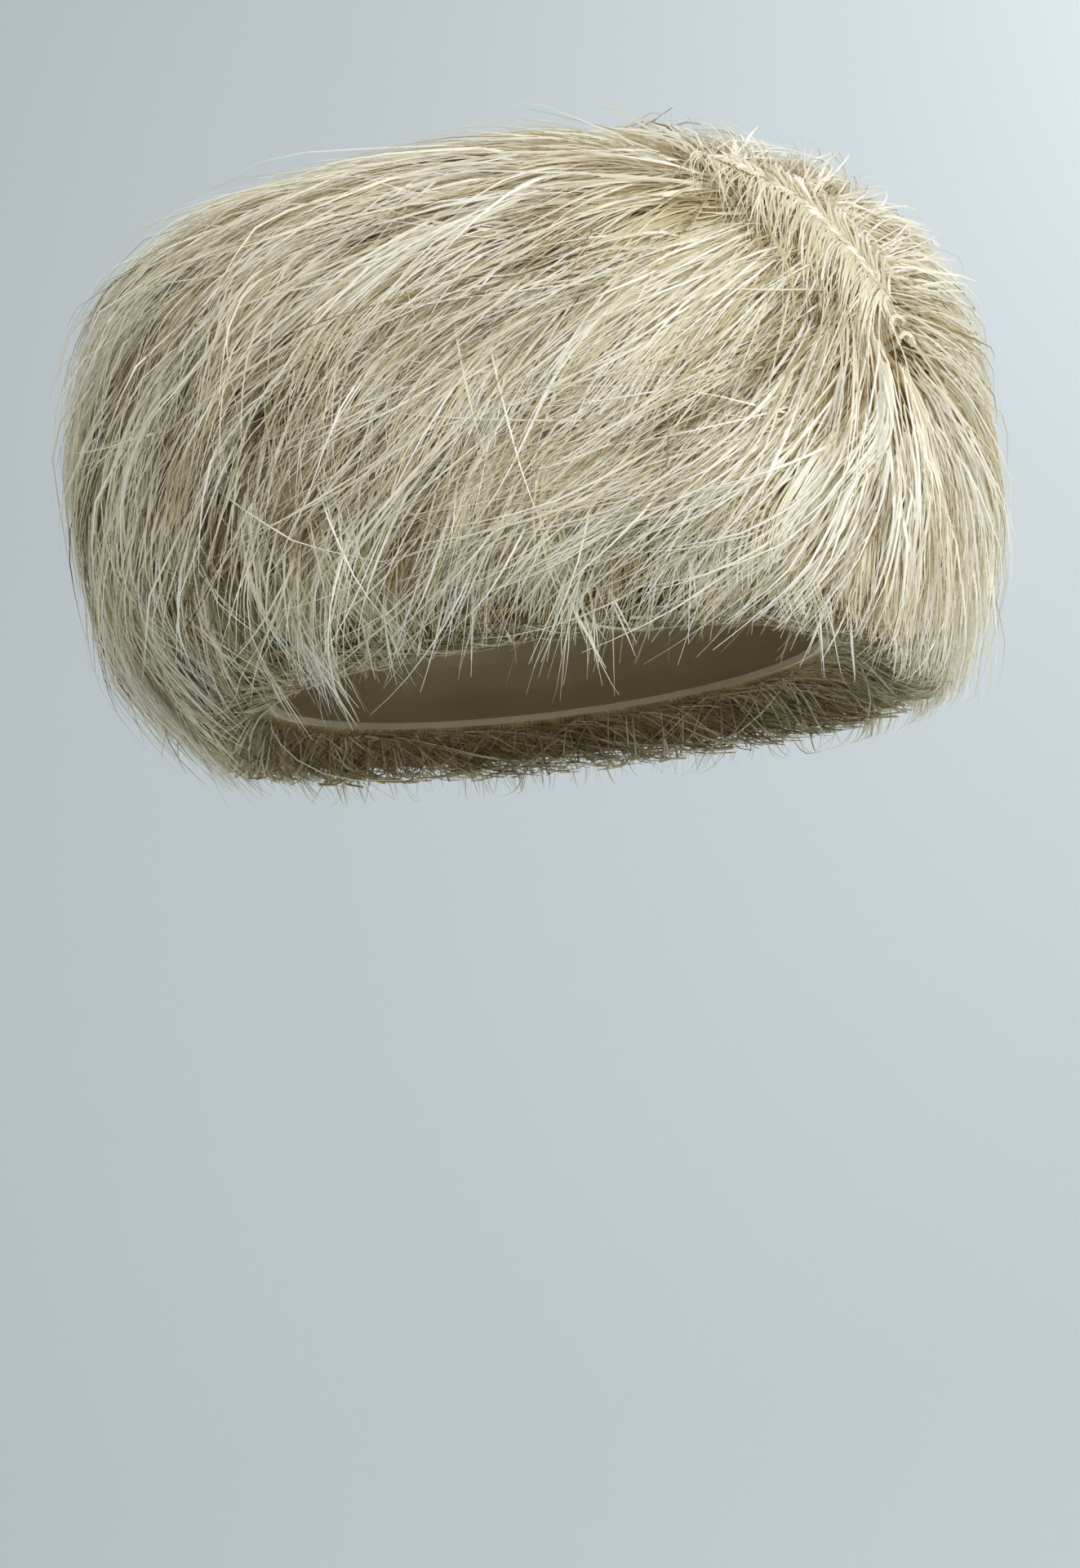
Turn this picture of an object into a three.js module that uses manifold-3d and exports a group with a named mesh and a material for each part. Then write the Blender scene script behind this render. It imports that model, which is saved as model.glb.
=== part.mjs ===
// A feather toque: a hollow crown base covered by overlapping rows of feather locks, which leave a
// parting at the upper right and sweep over the crown to the left and down the front.
// Lengths are in millimetres, +Z is up, -Y is the front and +X is the side with the parting.
// The origin is the middle of the head opening, in the plane of its rim.
import * as THREE from "three";
import { mergeVertices } from "three/addons/utils/BufferGeometryUtils.js";
import Module from "manifold-3d";

const wasm = await Module();
wasm.setup();

// Driving dimensions
const FORM_WIDTH = 258;
const FORM_DEPTH = 264;
const FORM_HEIGHT = 141;
const FEATHER_DEPTH = 16;
const HEAD_BREADTH = 158;
const HEAD_LENGTH = 188;
const BASE_WALL = 2;
const BASE_CLEARANCE = 1.4;
const OPENING_TURN_HEIGHT = 33;
const ROW_GAP = 1.6;
const PAD_GAP = 0.8;
const SEAT_GAP = 0.3;
const PARTING_LENGTH = 76;
const PARTING_OUT_SHARE = 0.32;
const PARTING_OUT = FORM_WIDTH * PARTING_OUT_SHARE;
const PARTING_FORWARD_SHARE = 0.364;
const PARTING_FORWARD = FORM_DEPTH * PARTING_FORWARD_SHARE;
const PARTING_TURN_DEGREES = -17;
const PARTING_BARB_LEFT = 27;
const PARTING_BARB_RIGHT = 20;
const BARB_ROOT_HEIGHT = 2.6;
const BARB_TIP_HEIGHT = 1.4;
const QUILL_WIDTH = 3.4;
const KNOT_LOOP = 3.4;
const KNOT_QUILL = 1.9;
const PLAN_ROUNDNESS = 2.25;
const FRONT_LEAN_DEGREES = 22;
const FRONT_LEAN_TURN_DEGREES = 12;
const FRONT_LEAN_SPREAD_DEGREES = 65;
const FRONT_LIFT = 14;
const FRONT_LIFT_START = 0.7;
const FRONT_LIFT_TURN_DEGREES = 15;
const FRONT_LIFT_FLAT_DEGREES = 35;
const FRONT_LIFT_SPREAD_DEGREES = 80;
const FRONT_FLARE = 6;
const NEAR_CROWDING = 0.4;

// Counts
const LOCKS = 48;
const KNOTS = 3;
const BASE_SIDES = 32;
const BASE_ROWS = 10;
const TURN_ROWS = 4;
const PARTING_BARBS = 8;

// The outer form of the feathers from the top down. along is the share of the way down it, reach is a
// share of half the width or depth, and rise is a share of the height. The tuck columns are the same for
// the left side, where the ends turn further under. depth is the share of the feathers' depth.
const FORM_SECTIONS = [
  { along: 0.0, reach: 0.0, rise: 1.0, tuckReach: 0.0, tuckRise: 1.0, depth: 1.0 },
  { along: 0.12, reach: 0.25, rise: 0.992, tuckReach: 0.25, tuckRise: 0.99, depth: 1.0 },
  { along: 0.25, reach: 0.52, rise: 0.957, tuckReach: 0.535, tuckRise: 0.948, depth: 1.0 },
  { along: 0.37, reach: 0.745, rise: 0.872, tuckReach: 0.74, tuckRise: 0.87, depth: 1.0 },
  { along: 0.47, reach: 0.89, rise: 0.742, tuckReach: 0.878, tuckRise: 0.745, depth: 1.0 },
  { along: 0.56, reach: 0.968, rise: 0.6, tuckReach: 0.948, tuckRise: 0.59, depth: 1.0 },
  { along: 0.65, reach: 1.0, rise: 0.45, tuckReach: 0.968, tuckRise: 0.442, depth: 1.0 },
  { along: 0.74, reach: 1.0, rise: 0.3, tuckReach: 0.968, tuckRise: 0.3, depth: 0.95 },
  { along: 0.83, reach: 0.98, rise: 0.155, tuckReach: 0.935, tuckRise: 0.157, depth: 0.8 },
  { along: 0.91, reach: 0.93, rise: 0.02, tuckReach: 0.85, tuckRise: 0.015, depth: 0.6 },
  { along: 1.0, reach: 0.865, rise: -0.128, tuckReach: 0.735, tuckRise: -0.11, depth: 0.35 },
];

// Each row of locks, as shares of the way from the parting to the hanging ends, and of the feathers' depth.
// Its underside climbs from the layer low, on the crown base, to a gap over the layer onto, the top of
// the row below, between climbStart and climbEnd. bed is its thickness before the climb and swell after it,
// rootShare is the share of that thickness at its root, and rootValley how shallow its valleys are there.
const ROWS = {
  hem: {
    root: 0.62, tip: 1.0, climbStart: 0.62, climbEnd: 0.7, low: 0.0, onto: null,
    bed: 0.2, swell: 0.42, rootShare: 0.35, rootValley: 0.34, notch: 0.1, steps: 6,
  },
  side: {
    root: 0.27, tip: 0.86, climbStart: 0.52, climbEnd: 0.6, low: 0.0, onto: 0.42,
    bed: 0.42, swell: 0.46, rootShare: 0.35, rootValley: 0.6, notch: 0.12, steps: 8,
  },
  crown: {
    root: 0.045, tip: 0.5, climbStart: 0.15, climbEnd: 0.24, low: -0.035, onto: 0.44,
    bed: 0.86, swell: 0.46, rootShare: 0.8, rootValley: 0.85, notch: 0.12, steps: 8,
  },
};

// Shares of a row's own thickness: in the valleys between its locks, and at their tips.
const VALLEY_SHARE = 0.34;
const TIP_LIFT_SHARE = 0.3;

// Across and up places of the corners of the parting feather's quill, which stands on the crown base:
// shares of the quill's width, and layers of the feathers.
const QUILL_SECTION = [
  { across: -0.3, layer: -0.05 },
  { across: 0.3, layer: -0.05 },
  { across: 0.5, layer: 0.93 },
  { across: 0.0, layer: 1.08 },
  { across: -0.5, layer: 0.93 },
];
const QUILL_END = 0.64;
const KNOT_START = 0.73;
const KNOT_STEP = 0.148;
const BARB_ROOT_LAYER = 0.97;
const BARB_TIP_LAYER = 0.82;

// The pads of the upper two rows: the turns in degrees that each covers, counterclockwise from +X.
const SIDE_PADS = [
  { name: "side_feathers_right", from: -45, to: 67.5 },
  { name: "side_feathers_back", from: 67.5, to: 135 },
  { name: "side_feathers_left", from: 135, to: 202.5 },
  { name: "side_feathers_front", from: 202.5, to: 315 },
];
const CROWN_PADS = [
  { name: "crown_feathers_right", from: -90, to: 60 },
  { name: "crown_feathers_left", from: 60, to: 270 },
];

const FULL_TURN = Math.PI * 2;
const FLOW_SAMPLES = 40;
const SMALL_STEP = 1e-3;

const clamp01 = (t) => Math.min(1, Math.max(0, t));
const mix = (a, b, t) => a + (b - a) * t;
const smooth = (t) => clamp01(t) ** 2 * (3 - 2 * clamp01(t));
const radians = (degrees) => (degrees * Math.PI) / 180;

// A steady spread of values from 0 to 1, one for each number and purpose.
function vary(number, purpose) {
  const wave = Math.sin(number * 12.9898 + purpose * 78.233) * 43758.5453;
  return wave - Math.floor(wave);
}

// A column of a table at a place along it, on a smooth curve through its rows.
function columnAt(table, column, along) {
  const last = table.length - 1;
  let row = 0;
  while (row < last - 1 && along > table[row + 1].along) row += 1;
  const slope = (i) => {
    const before = table[Math.max(0, i - 1)];
    const after = table[Math.min(last, i + 1)];
    return (after[column] - before[column]) / (after.along - before.along);
  };
  const from = table[row];
  const to = table[row + 1];
  const span = to.along - from.along;
  const t = (along - from.along) / span;
  const rise = to[column] - from[column];
  const startPull = slope(row) * span - rise;
  const endPull = rise - slope(row + 1) * span;
  return from[column] + t * rise + t * (1 - t) * ((1 - t) * startPull + t * endPull);
}

// Distance from the axis to a rounded oval of the given half sizes.
function ovalRadius(angle, halfX, halfY, roundness = 2) {
  const across = Math.abs(Math.cos(angle) / halfX) ** roundness;
  const deep = Math.abs(Math.sin(angle) / halfY) ** roundness;
  return (across + deep) ** (-1 / roundness);
}

// An angle round the axis as one from the front, less than nothing on the left.
function angleFromFront(angle) {
  return Math.atan2(Math.cos(angle), -Math.sin(angle));
}

// How far the hem is lifted at an angle, as a share: 1 over the flat of the front and its left, and 0
// from the lift's spread on.
function liftShare(angle) {
  const fromMiddle = Math.abs(angleFromFront(angle) + radians(FRONT_LIFT_TURN_DEGREES));
  const flat = radians(FRONT_LIFT_FLAT_DEGREES);
  return 1 - smooth((fromMiddle - flat) / (radians(FRONT_LIFT_SPREAD_DEGREES) - flat));
}

// The outer form at a share of the way down and an angle round the axis.
function profileAt(along, angle) {
  const lifted = liftShare(angle) * smooth((along - FRONT_LIFT_START) / (1 - FRONT_LIFT_START));
  const tuck = smooth((1 - Math.cos(angle)) / 2);
  const column = (name) => columnAt(FORM_SECTIONS, name, along);
  const blend = (right, left) => mix(column(right), column(left), tuck);
  const reach = blend("reach", "tuckReach");
  const rise = blend("rise", "tuckRise");
  const radius = reach * ovalRadius(angle, FORM_WIDTH / 2, FORM_DEPTH / 2, PLAN_ROUNDNESS);
  return new THREE.Vector2(radius + FRONT_FLARE * lifted, rise * FORM_HEIGHT + FRONT_LIFT * lifted);
}

// A point inset by a depth from the outer form, square to it.
function insetPoint(along, angle, inset) {
  const before = profileAt(Math.max(0, along - SMALL_STEP), angle);
  const after = profileAt(Math.min(1, along + SMALL_STEP), angle);
  const run = after.clone().sub(before).normalize();
  const here = profileAt(along, angle);
  const radius = here.x + run.y * inset;
  const height = here.y - run.x * inset;
  return new THREE.Vector3(radius * Math.cos(angle), radius * Math.sin(angle), height);
}

// A point in the feathers: layer is 0 against the crown base and 1 at the outer form.
function featherPoint(along, angle, layer) {
  const depth = FEATHER_DEPTH * columnAt(FORM_SECTIONS, "depth", along);
  return insetPoint(along, angle, depth * (1 - layer));
}

// Plan view of the flow, on a disc whose middle is the top and whose edge is the hanging ends.
// The parting is a short straight line on it.
const partingAngle = -Math.atan2(PARTING_FORWARD, PARTING_OUT);
const formLength = (() => {
  let length = 0;
  for (let i = 1; i <= FLOW_SAMPLES; i += 1) {
    const from = profileAt((i - 1) / FLOW_SAMPLES, partingAngle);
    length += profileAt(i / FLOW_SAMPLES, partingAngle).distanceTo(from);
  }
  return length;
})();
const alongAtRadius = (() => {
  const wanted = Math.hypot(PARTING_OUT, PARTING_FORWARD);
  let along = 0;
  while (profileAt(along, partingAngle).x < wanted) along += SMALL_STEP;
  return along;
})();
const poleX = alongAtRadius * Math.cos(partingAngle);
const poleY = alongAtRadius * Math.sin(partingAngle);
const partingTurn = radians(PARTING_TURN_DEGREES);
const partingHalf = PARTING_LENGTH / 2 / formLength;

// The rim angle at which a turn's line ends. Lines are closer together on the parting's side.
function rimAngleOf(turn) {
  return turn - NEAR_CROWDING * Math.sin(turn - partingAngle);
}

// How far a line has leant to the left by a share of the way out, which only the front's lines do.
function leanAt(rimAngle, out) {
  const fromMiddle = Math.abs(angleFromFront(rimAngle) - radians(FRONT_LEAN_TURN_DEGREES));
  const place = Math.min(1, fromMiddle / radians(FRONT_LEAN_SPREAD_DEGREES));
  return radians(FRONT_LEAN_DEGREES) * ((1 + Math.cos(place * Math.PI)) / 2) * out ** 2;
}

// Places on the disc: along from the middle and angle, for a share of the way out from the parting to
// the place on the rim at the given angle. Without the parting's length and the lean they are circle arcs.
function discPoint(rimAngle, out) {
  const edge = rimAngle - leanAt(rimAngle, out);
  const [ex, ey] = [Math.cos(edge), Math.sin(edge)];
  const [ax, ay] = [ex - poleX, ey - poleY];
  const [bx, by] = [1 - (poleX * ex + poleY * ey), -(poleX * ey - poleY * ex)];
  const scale = bx * bx + by * by;
  const leaveX = (ax * bx + ay * by) / scale;
  const leaveY = (ay * bx - ax * by) / scale;
  const [qx, qy] = [leaveX * out, leaveY * out];
  const [nx, ny] = [qx + poleX, qy + poleY];
  const [dx, dy] = [1 + poleX * qx + poleY * qy, poleX * qy - poleY * qx];
  const size = dx * dx + dy * dy;
  const spread = partingHalf * (1 - out) ** 2;
  const onLine = spread * (leaveX * Math.cos(partingTurn) + leaveY * Math.sin(partingTurn));
  const x = (nx * dx + ny * dy) / size + onLine * Math.cos(partingTurn);
  const y = (ny * dx - nx * dy) / size + onLine * Math.sin(partingTurn);
  return { along: Math.min(1, Math.hypot(x, y)), angle: Math.atan2(y, x) };
}

// A turn's flow line, with its places given by the share of its real length from the parting.
function flowLine(turn) {
  const rimAngle = rimAngleOf(turn);
  const lengths = [0];
  let last = null;
  for (let i = 0; i <= FLOW_SAMPLES; i += 1) {
    const place = discPoint(rimAngle, i / FLOW_SAMPLES);
    const here = insetPoint(place.along, place.angle, 0);
    if (last) lengths.push(lengths[i - 1] + here.distanceTo(last));
    last = here;
  }
  return (share) => {
    const wanted = clamp01(share) * lengths[FLOW_SAMPLES];
    let i = 1;
    while (i < FLOW_SAMPLES && lengths[i] < wanted) i += 1;
    const part = (wanted - lengths[i - 1]) / (lengths[i] - lengths[i - 1]);
    return discPoint(rimAngle, (i - 1 + part) / FLOW_SAMPLES);
  };
}

// A closed body under construction: points and outward triangles.
function newBody() {
  return { points: [], faces: [] };
}

function addPoint(body, point) {
  body.points.push(point);
  return body.points.length - 1;
}

function bodyGeometry(body) {
  const geometry = new THREE.BufferGeometry();
  const coordinates = body.points.flatMap((point) => point.toArray());
  geometry.setAttribute("position", new THREE.Float32BufferAttribute(coordinates, 3));
  geometry.setIndex(body.faces.flat());
  return geometry;
}

// One row, or one pad of it: a ridged skin whose locks are ridges between valleys, closed underneath,
// with a free point at the end of each lock.
function lockRow(kind, rimFrom, rimTo, seed) {
  const row = ROWS[kind];
  const steps = row.steps;
  const whole = rimTo - rimFrom >= FULL_TURN - SMALL_STEP;
  const count = Math.round((LOCKS * (rimTo - rimFrom)) / FULL_TURN);
  const width = (rimTo - rimFrom) / count;
  const climb = (share) => smooth((share - row.climbStart) / (row.climbEnd - row.climbStart));
  const high = row.onto === null ? row.low : row.onto + ROW_GAP / FEATHER_DEPTH;
  const under = (share) => mix(row.low, high, climb(share));
  const swellAt = (share) => mix(row.bed, row.swell, climb(share));
  const body = newBody();
  const at = (line, share, layer) => {
    const place = line(share);
    return featherPoint(place.along, place.angle, layer);
  };
  const put = (line, share, layer) => addPoint(body, at(line, share, layer));
  const putAside = (line, towards, share, layer) => {
    const here = at(line, share, layer);
    const aside = at(towards, share, layer).sub(here).setLength(PAD_GAP / 2);
    return addPoint(body, here.add(aside));
  };

  const borders = [];
  const borderCount = whole ? count : count + 1;
  for (let k = 0; k < borderCount; k += 1) {
    const atEnd = !whole && (k === 0 || k === count);
    const drift = atEnd ? 0 : (vary(k, seed) - 0.5) * 0.3 * width;
    const line = flowLine(rimFrom + k * width + drift);
    const inward = flowLine(rimFrom + k * width + (k === 0 ? 0.1 : -0.1) * width);
    const end = row.tip - row.notch * (0.7 + 0.6 * vary(k, seed + 1));
    const border = { over: [], below: [] };
    for (let i = 0; i <= steps; i += 1) {
      const share = mix(row.root, end, i / steps);
      const base = under(share);
      const valley = mix(row.rootValley, VALLEY_SHARE, smooth((2 * i) / steps));
      const swell = swellAt(share) * valley * mix(row.rootShare, 1, smooth((3 * i) / steps));
      border.below.push(atEnd ? putAside(line, inward, share, base) : put(line, share, base));
      border.over.push(atEnd ? putAside(line, inward, share, base + swell) : put(line, share, base + swell));
    }
    borders.push(border);
  }

  const ridges = [];
  for (let k = 0; k < count; k += 1) {
    const lean = (vary(k, seed + 2) - 0.5) * 0.5 * width;
    const line = flowLine(rimFrom + (k + 0.5) * width + lean * 0.4);
    const tipLine = flowLine(rimFrom + (k + 0.5) * width + lean);
    const tip = row.tip - row.notch * 0.6 * (vary(k, seed + 3) - 0.35);
    const end = mix(row.root, tip, 0.82);
    const over = [];
    for (let i = 0; i <= steps; i += 1) {
      const t = i / steps;
      const share = mix(row.root, end, t);
      const rise = mix(row.rootShare, 1, smooth(2.2 * t)) * (1 - 0.25 * smooth(2 * t - 1));
      over.push(put(line, share, under(share) + swellAt(share) * rise * (0.85 + 0.15 * vary(k, seed + 4))));
    }
    const point = put(tipLine, tip, under(tip) + row.swell * TIP_LIFT_SHARE);
    ridges.push({ over, point });
  }

  for (let k = 0; k < count; k += 1) {
    const left = borders[k];
    const right = borders[(k + 1) % borderCount];
    const ridge = ridges[k];
    for (let i = 0; i < steps; i += 1) {
      body.faces.push([left.over[i], left.over[i + 1], ridge.over[i + 1]]);
      body.faces.push([left.over[i], ridge.over[i + 1], ridge.over[i]]);
      body.faces.push([ridge.over[i], ridge.over[i + 1], right.over[i + 1]]);
      body.faces.push([ridge.over[i], right.over[i + 1], right.over[i]]);
      body.faces.push([left.below[i], right.below[i + 1], left.below[i + 1]]);
      body.faces.push([left.below[i], right.below[i], right.below[i + 1]]);
    }
    const [lo, li] = [left.over[steps], left.below[steps]];
    const [ro, ri] = [right.over[steps], right.below[steps]];
    const top = ridge.over[steps];
    body.faces.push([lo, ridge.point, top], [top, ridge.point, ro], [ro, ridge.point, ri]);
    body.faces.push([ri, ridge.point, li], [li, ridge.point, lo]);
    body.faces.push([left.over[0], ridge.over[0], left.below[0]]);
    body.faces.push([ridge.over[0], right.below[0], left.below[0]]);
    body.faces.push([ridge.over[0], right.over[0], right.below[0]]);
  }
  if (!whole) {
    const [first, last] = [borders[0], borders[count]];
    for (let i = 0; i < steps; i += 1) {
      body.faces.push([first.over[i + 1], first.over[i], first.below[i]]);
      body.faces.push([first.over[i + 1], first.below[i], first.below[i + 1]]);
      body.faces.push([last.over[i], last.over[i + 1], last.below[i + 1]]);
      body.faces.push([last.over[i], last.below[i + 1], last.below[i]]);
    }
  }
  return bodyGeometry(body);
}

// The crown base: one wall that follows the form, then turns under to the head opening.
function crownBase() {
  const rows = BASE_ROWS + TURN_ROWS;
  const insetDepth = FEATHER_DEPTH + BASE_CLEARANCE;
  const turnStart = (() => {
    let along = 0.5;
    while (insetPoint(along, 0, insetDepth).z > OPENING_TURN_HEIGHT) along += SMALL_STEP;
    return along;
  })();
  const outerAt = (row, angle) => {
    if (row <= BASE_ROWS) return insetPoint((turnStart * row) / BASE_ROWS, angle, insetDepth);
    const turn = ((row - BASE_ROWS) / TURN_ROWS) * (Math.PI / 2);
    const start = insetPoint(turnStart, angle, insetDepth);
    const opening = ovalRadius(angle, HEAD_BREADTH / 2, HEAD_LENGTH / 2);
    const radius = opening + (Math.hypot(start.x, start.y) - opening) * Math.cos(turn);
    const height = start.z * (1 - Math.sin(turn));
    return new THREE.Vector3(radius * Math.cos(angle), radius * Math.sin(angle), height);
  };
  const innerAt = (row, angle) => {
    const here = outerAt(row, angle);
    const above = outerAt(Math.max(0, row - SMALL_STEP), angle);
    const down = outerAt(Math.min(rows, row + SMALL_STEP), angle).sub(above);
    const round = outerAt(row, angle + SMALL_STEP).sub(outerAt(row, angle - SMALL_STEP));
    const outward = down.cross(round).normalize();
    return here.sub(outward.multiplyScalar(BASE_WALL));
  };
  const body = newBody();
  const skins = [outerAt, innerAt].map((pointAt, skin) => {
    const top = insetPoint(0, 0, insetDepth);
    top.z -= skin * BASE_WALL;
    const apex = addPoint(body, top);
    const rings = [];
    for (let row = 1; row <= rows; row += 1) {
      const ring = [];
      for (let side = 0; side < BASE_SIDES; side += 1) {
        ring.push(addPoint(body, pointAt(row, (side / BASE_SIDES) * FULL_TURN)));
      }
      rings.push(ring);
    }
    return { apex, rings };
  });
  skins.forEach(({ apex, rings }, skin) => {
    const face = (a, b, c) => body.faces.push(skin === 0 ? [a, b, c] : [a, c, b]);
    for (let side = 0; side < BASE_SIDES; side += 1) {
      const next = (side + 1) % BASE_SIDES;
      face(apex, rings[0][side], rings[0][next]);
      for (let row = 0; row < rows - 1; row += 1) {
        face(rings[row][side], rings[row + 1][side], rings[row + 1][next]);
        face(rings[row][side], rings[row + 1][next], rings[row][next]);
      }
    }
  });
  const [outerRim, innerRim] = skins.map((skin) => skin.rings[rows - 1]);
  for (let side = 0; side < BASE_SIDES; side += 1) {
    const next = (side + 1) % BASE_SIDES;
    body.faces.push([outerRim[side], innerRim[side], innerRim[next]]);
    body.faces.push([outerRim[side], innerRim[next], outerRim[next]]);
  }
  return bodyGeometry(body);
}

// Joins closed geometries into one with manifold-3d.
function toSolid(geometry) {
  const bare = geometry.clone();
  bare.deleteAttribute("normal");
  bare.deleteAttribute("uv");
  const merged = mergeVertices(bare, 1e-4);
  const triVerts = new Uint32Array(merged.index.array);
  const vertProperties = merged.attributes.position.array;
  return new wasm.Manifold(new wasm.Mesh({ numProp: 3, vertProperties, triVerts }));
}

function joined(geometries) {
  const solid = geometries.map(toSolid).reduce((all, next) => all.add(next));
  const mesh = solid.getMesh();
  const geometry = new THREE.BufferGeometry();
  geometry.setAttribute("position", new THREE.BufferAttribute(mesh.vertProperties, 3));
  geometry.setIndex(new THREE.BufferAttribute(mesh.triVerts, 1));
  return geometry;
}

// A point over the parting: place runs from -1 at the upper back end to 1 at the knots, across is a
// distance to the side, and layer is as in featherPoint.
function partingPoint(place, across, layer) {
  const half = partingHalf * place;
  const side = across / formLength;
  const x = poleX + half * Math.cos(partingTurn) - side * Math.sin(partingTurn);
  const y = poleY + half * Math.sin(partingTurn) + side * Math.cos(partingTurn);
  return featherPoint(Math.hypot(x, y), Math.atan2(y, x), layer);
}

// The parting's own directions at a place on it: the point on the outer form, and unit steps towards
// the knots, to the left and outwards.
function partingFrame(place, across = 0) {
  const origin = partingPoint(place, across, 1);
  const outward = origin.clone().sub(partingPoint(place, across, 0)).normalize();
  const onward = partingPoint(place + SMALL_STEP, across, 1).sub(origin).normalize();
  return { origin, onward, outward, aside: outward.clone().cross(onward) };
}

// A closed body through rings of points, each with as many corners, listed counterclockwise as seen
// from the body's far end. A last ring of one point is a tip.
function loft(rings) {
  const body = newBody();
  const numbered = rings.map((ring) => ring.map((point) => addPoint(body, point)));
  const corners = rings[0].length;
  const first = numbered[0];
  for (let side = 1; side < corners - 1; side += 1) {
    body.faces.push([first[0], first[side + 1], first[side]]);
  }
  for (let i = 0; i < numbered.length - 1; i += 1) {
    const [from, to] = [numbered[i], numbered[i + 1]];
    for (let side = 0; side < corners; side += 1) {
      const next = (side + 1) % corners;
      if (to.length === 1) {
        body.faces.push([from[side], from[next], to[0]]);
      } else {
        body.faces.push([from[side], from[next], to[next]]);
        body.faces.push([from[side], to[next], to[side]]);
      }
    }
  }
  const last = numbered[numbered.length - 1];
  for (let side = 1; side < last.length - 1; side += 1) {
    body.faces.push([last[0], last[side], last[side + 1]]);
  }
  return bodyGeometry(body);
}

// A rod of a few sides along the given points.
function rod(points, width, sides, steps) {
  const section = new THREE.Shape();
  for (let i = 0; i < sides; i += 1) {
    const angle = (i / sides) * FULL_TURN;
    const corner = [(width / 2) * Math.cos(angle), (width / 2) * Math.sin(angle)];
    if (i === 0) section.moveTo(...corner);
    else section.lineTo(...corner);
  }
  return new THREE.ExtrudeGeometry(section, { steps, extrudePath: new THREE.CatmullRomCurve3(points) });
}

// One barb of the parting feather: a pointed lock from the quill out to one side, over the crown row.
function partingBarb(place, reach, number) {
  const rings = [];
  const width = (QUILL_END + 1) * (PARTING_LENGTH / 2) / PARTING_BARBS;
  const slide = 0.1 + 0.12 * vary(number, 91);
  const layerAt = (t) => mix(BARB_ROOT_LAYER, BARB_TIP_LAYER, t);
  const steps = 3;
  for (let i = 0; i < steps; i += 1) {
    const t = i / steps;
    const { origin, onward, outward } = partingFrame(place + slide * t * t, reach * t);
    const foot = origin.sub(outward.clone().multiplyScalar((1 - layerAt(t)) * FEATHER_DEPTH));
    const half = onward.clone().multiplyScalar((width / 2) * (1.15 - 0.5 * t));
    const top = foot.clone().add(outward.clone().multiplyScalar(mix(BARB_ROOT_HEIGHT, BARB_TIP_HEIGHT, t)));
    const ring = [foot.clone().sub(half), foot.clone().add(half), top];
    rings.push(reach > 0 ? ring.reverse() : ring);
  }
  rings.push([partingPoint(place + slide, reach, layerAt(1))]);
  return loft(rings);
}

function partingFeather() {
  const rings = [];
  for (let i = 0; i <= PARTING_BARBS; i += 1) {
    const place = mix(-1, QUILL_END, i / PARTING_BARBS);
    const taper = i === 0 ? 0.5 : 1;
    rings.push(QUILL_SECTION.map((at) => partingPoint(place, at.across * QUILL_WIDTH * taper, at.layer)));
  }
  const pieces = [loft(rings)];
  for (let i = 0; i < PARTING_BARBS; i += 1) {
    const place = mix(-1, QUILL_END, (i + 0.5) / PARTING_BARBS);
    const length = 0.75 + 0.25 * Math.sin(((i + 1) / PARTING_BARBS) * Math.PI);
    pieces.push(partingBarb(place, PARTING_BARB_LEFT * length * (0.85 + 0.3 * vary(i, 92)), i));
    pieces.push(partingBarb(place, -PARTING_BARB_RIGHT * length * (0.85 + 0.3 * vary(i, 93)), i + 50));
  }
  return joined(pieces);
}

// One knotted quill end: it rises from the crown base past the ends of the crown row and curls over.
function quillKnot(place, across, turn) {
  const { origin, onward, outward, aside } = partingFrame(place, across);
  const local = (forward, left, up) => {
    const point = origin.clone().add(onward.clone().multiplyScalar(forward));
    return point.add(aside.clone().multiplyScalar(left)).add(outward.clone().multiplyScalar(up));
  };
  const foot = SEAT_GAP - FEATHER_DEPTH - BASE_CLEARANCE;
  const points = [local(0, 0, foot), local(0, 0, foot / 2), local(0, 0, -1)];
  for (let i = 0; i <= 6; i += 1) {
    const angle = turn + (i / 6) * FULL_TURN * 0.8;
    const lift = KNOT_QUILL * (0.3 + (1.5 * i) / 6);
    const [forward, left] = [Math.sin(angle), Math.cos(angle) - Math.cos(turn)];
    points.push(local((KNOT_LOOP / 2) * forward, (KNOT_LOOP / 2) * left, lift));
  }
  return rod(points, KNOT_QUILL, 5, 18);
}

const paint = (color, roughness) =>
  new THREE.MeshStandardMaterial({ color, roughness, metalness: 0, flatShading: true });
const felt = paint(0xb9a06a, 0.9);
const ivory = paint(0xded6bd, 0.6);
const cream = paint(0xd8cda8, 0.6);
const quillPale = paint(0xe6dca8, 0.45);

const hat = new THREE.Group();
function place(name, geometry, material) {
  const mesh = new THREE.Mesh(geometry, material);
  mesh.name = name;
  hat.add(mesh);
}

place("crown_base", crownBase(), felt);
place("hem_feathers", lockRow("hem", 0, FULL_TURN, 10), cream);
SIDE_PADS.forEach((pad, i) => {
  place(pad.name, lockRow("side", radians(pad.from), radians(pad.to), 20 + 10 * i), ivory);
});
CROWN_PADS.forEach((pad, i) => {
  place(pad.name, lockRow("crown", radians(pad.from), radians(pad.to), 70 + 10 * i), ivory);
});

place("parting_feather", partingFeather(), ivory);
for (let i = 0; i < KNOTS; i += 1) {
  const aside = i % 2 === 0 ? 1 : -1;
  place(`quill_knot_${i + 1}`, quillKnot(KNOT_START + KNOT_STEP * i, aside, i * 2), quillPale);
}

export default hat;
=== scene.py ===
"""The looks of a feather toque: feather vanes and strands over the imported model.

The model's frame is in metres, +Z is up, -Y is the front and +X is the side with the parting.
The form repeats the part's own in millimetres, and so does the flow of the feathers, apart from
the lean at the front.
"""
import math

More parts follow.
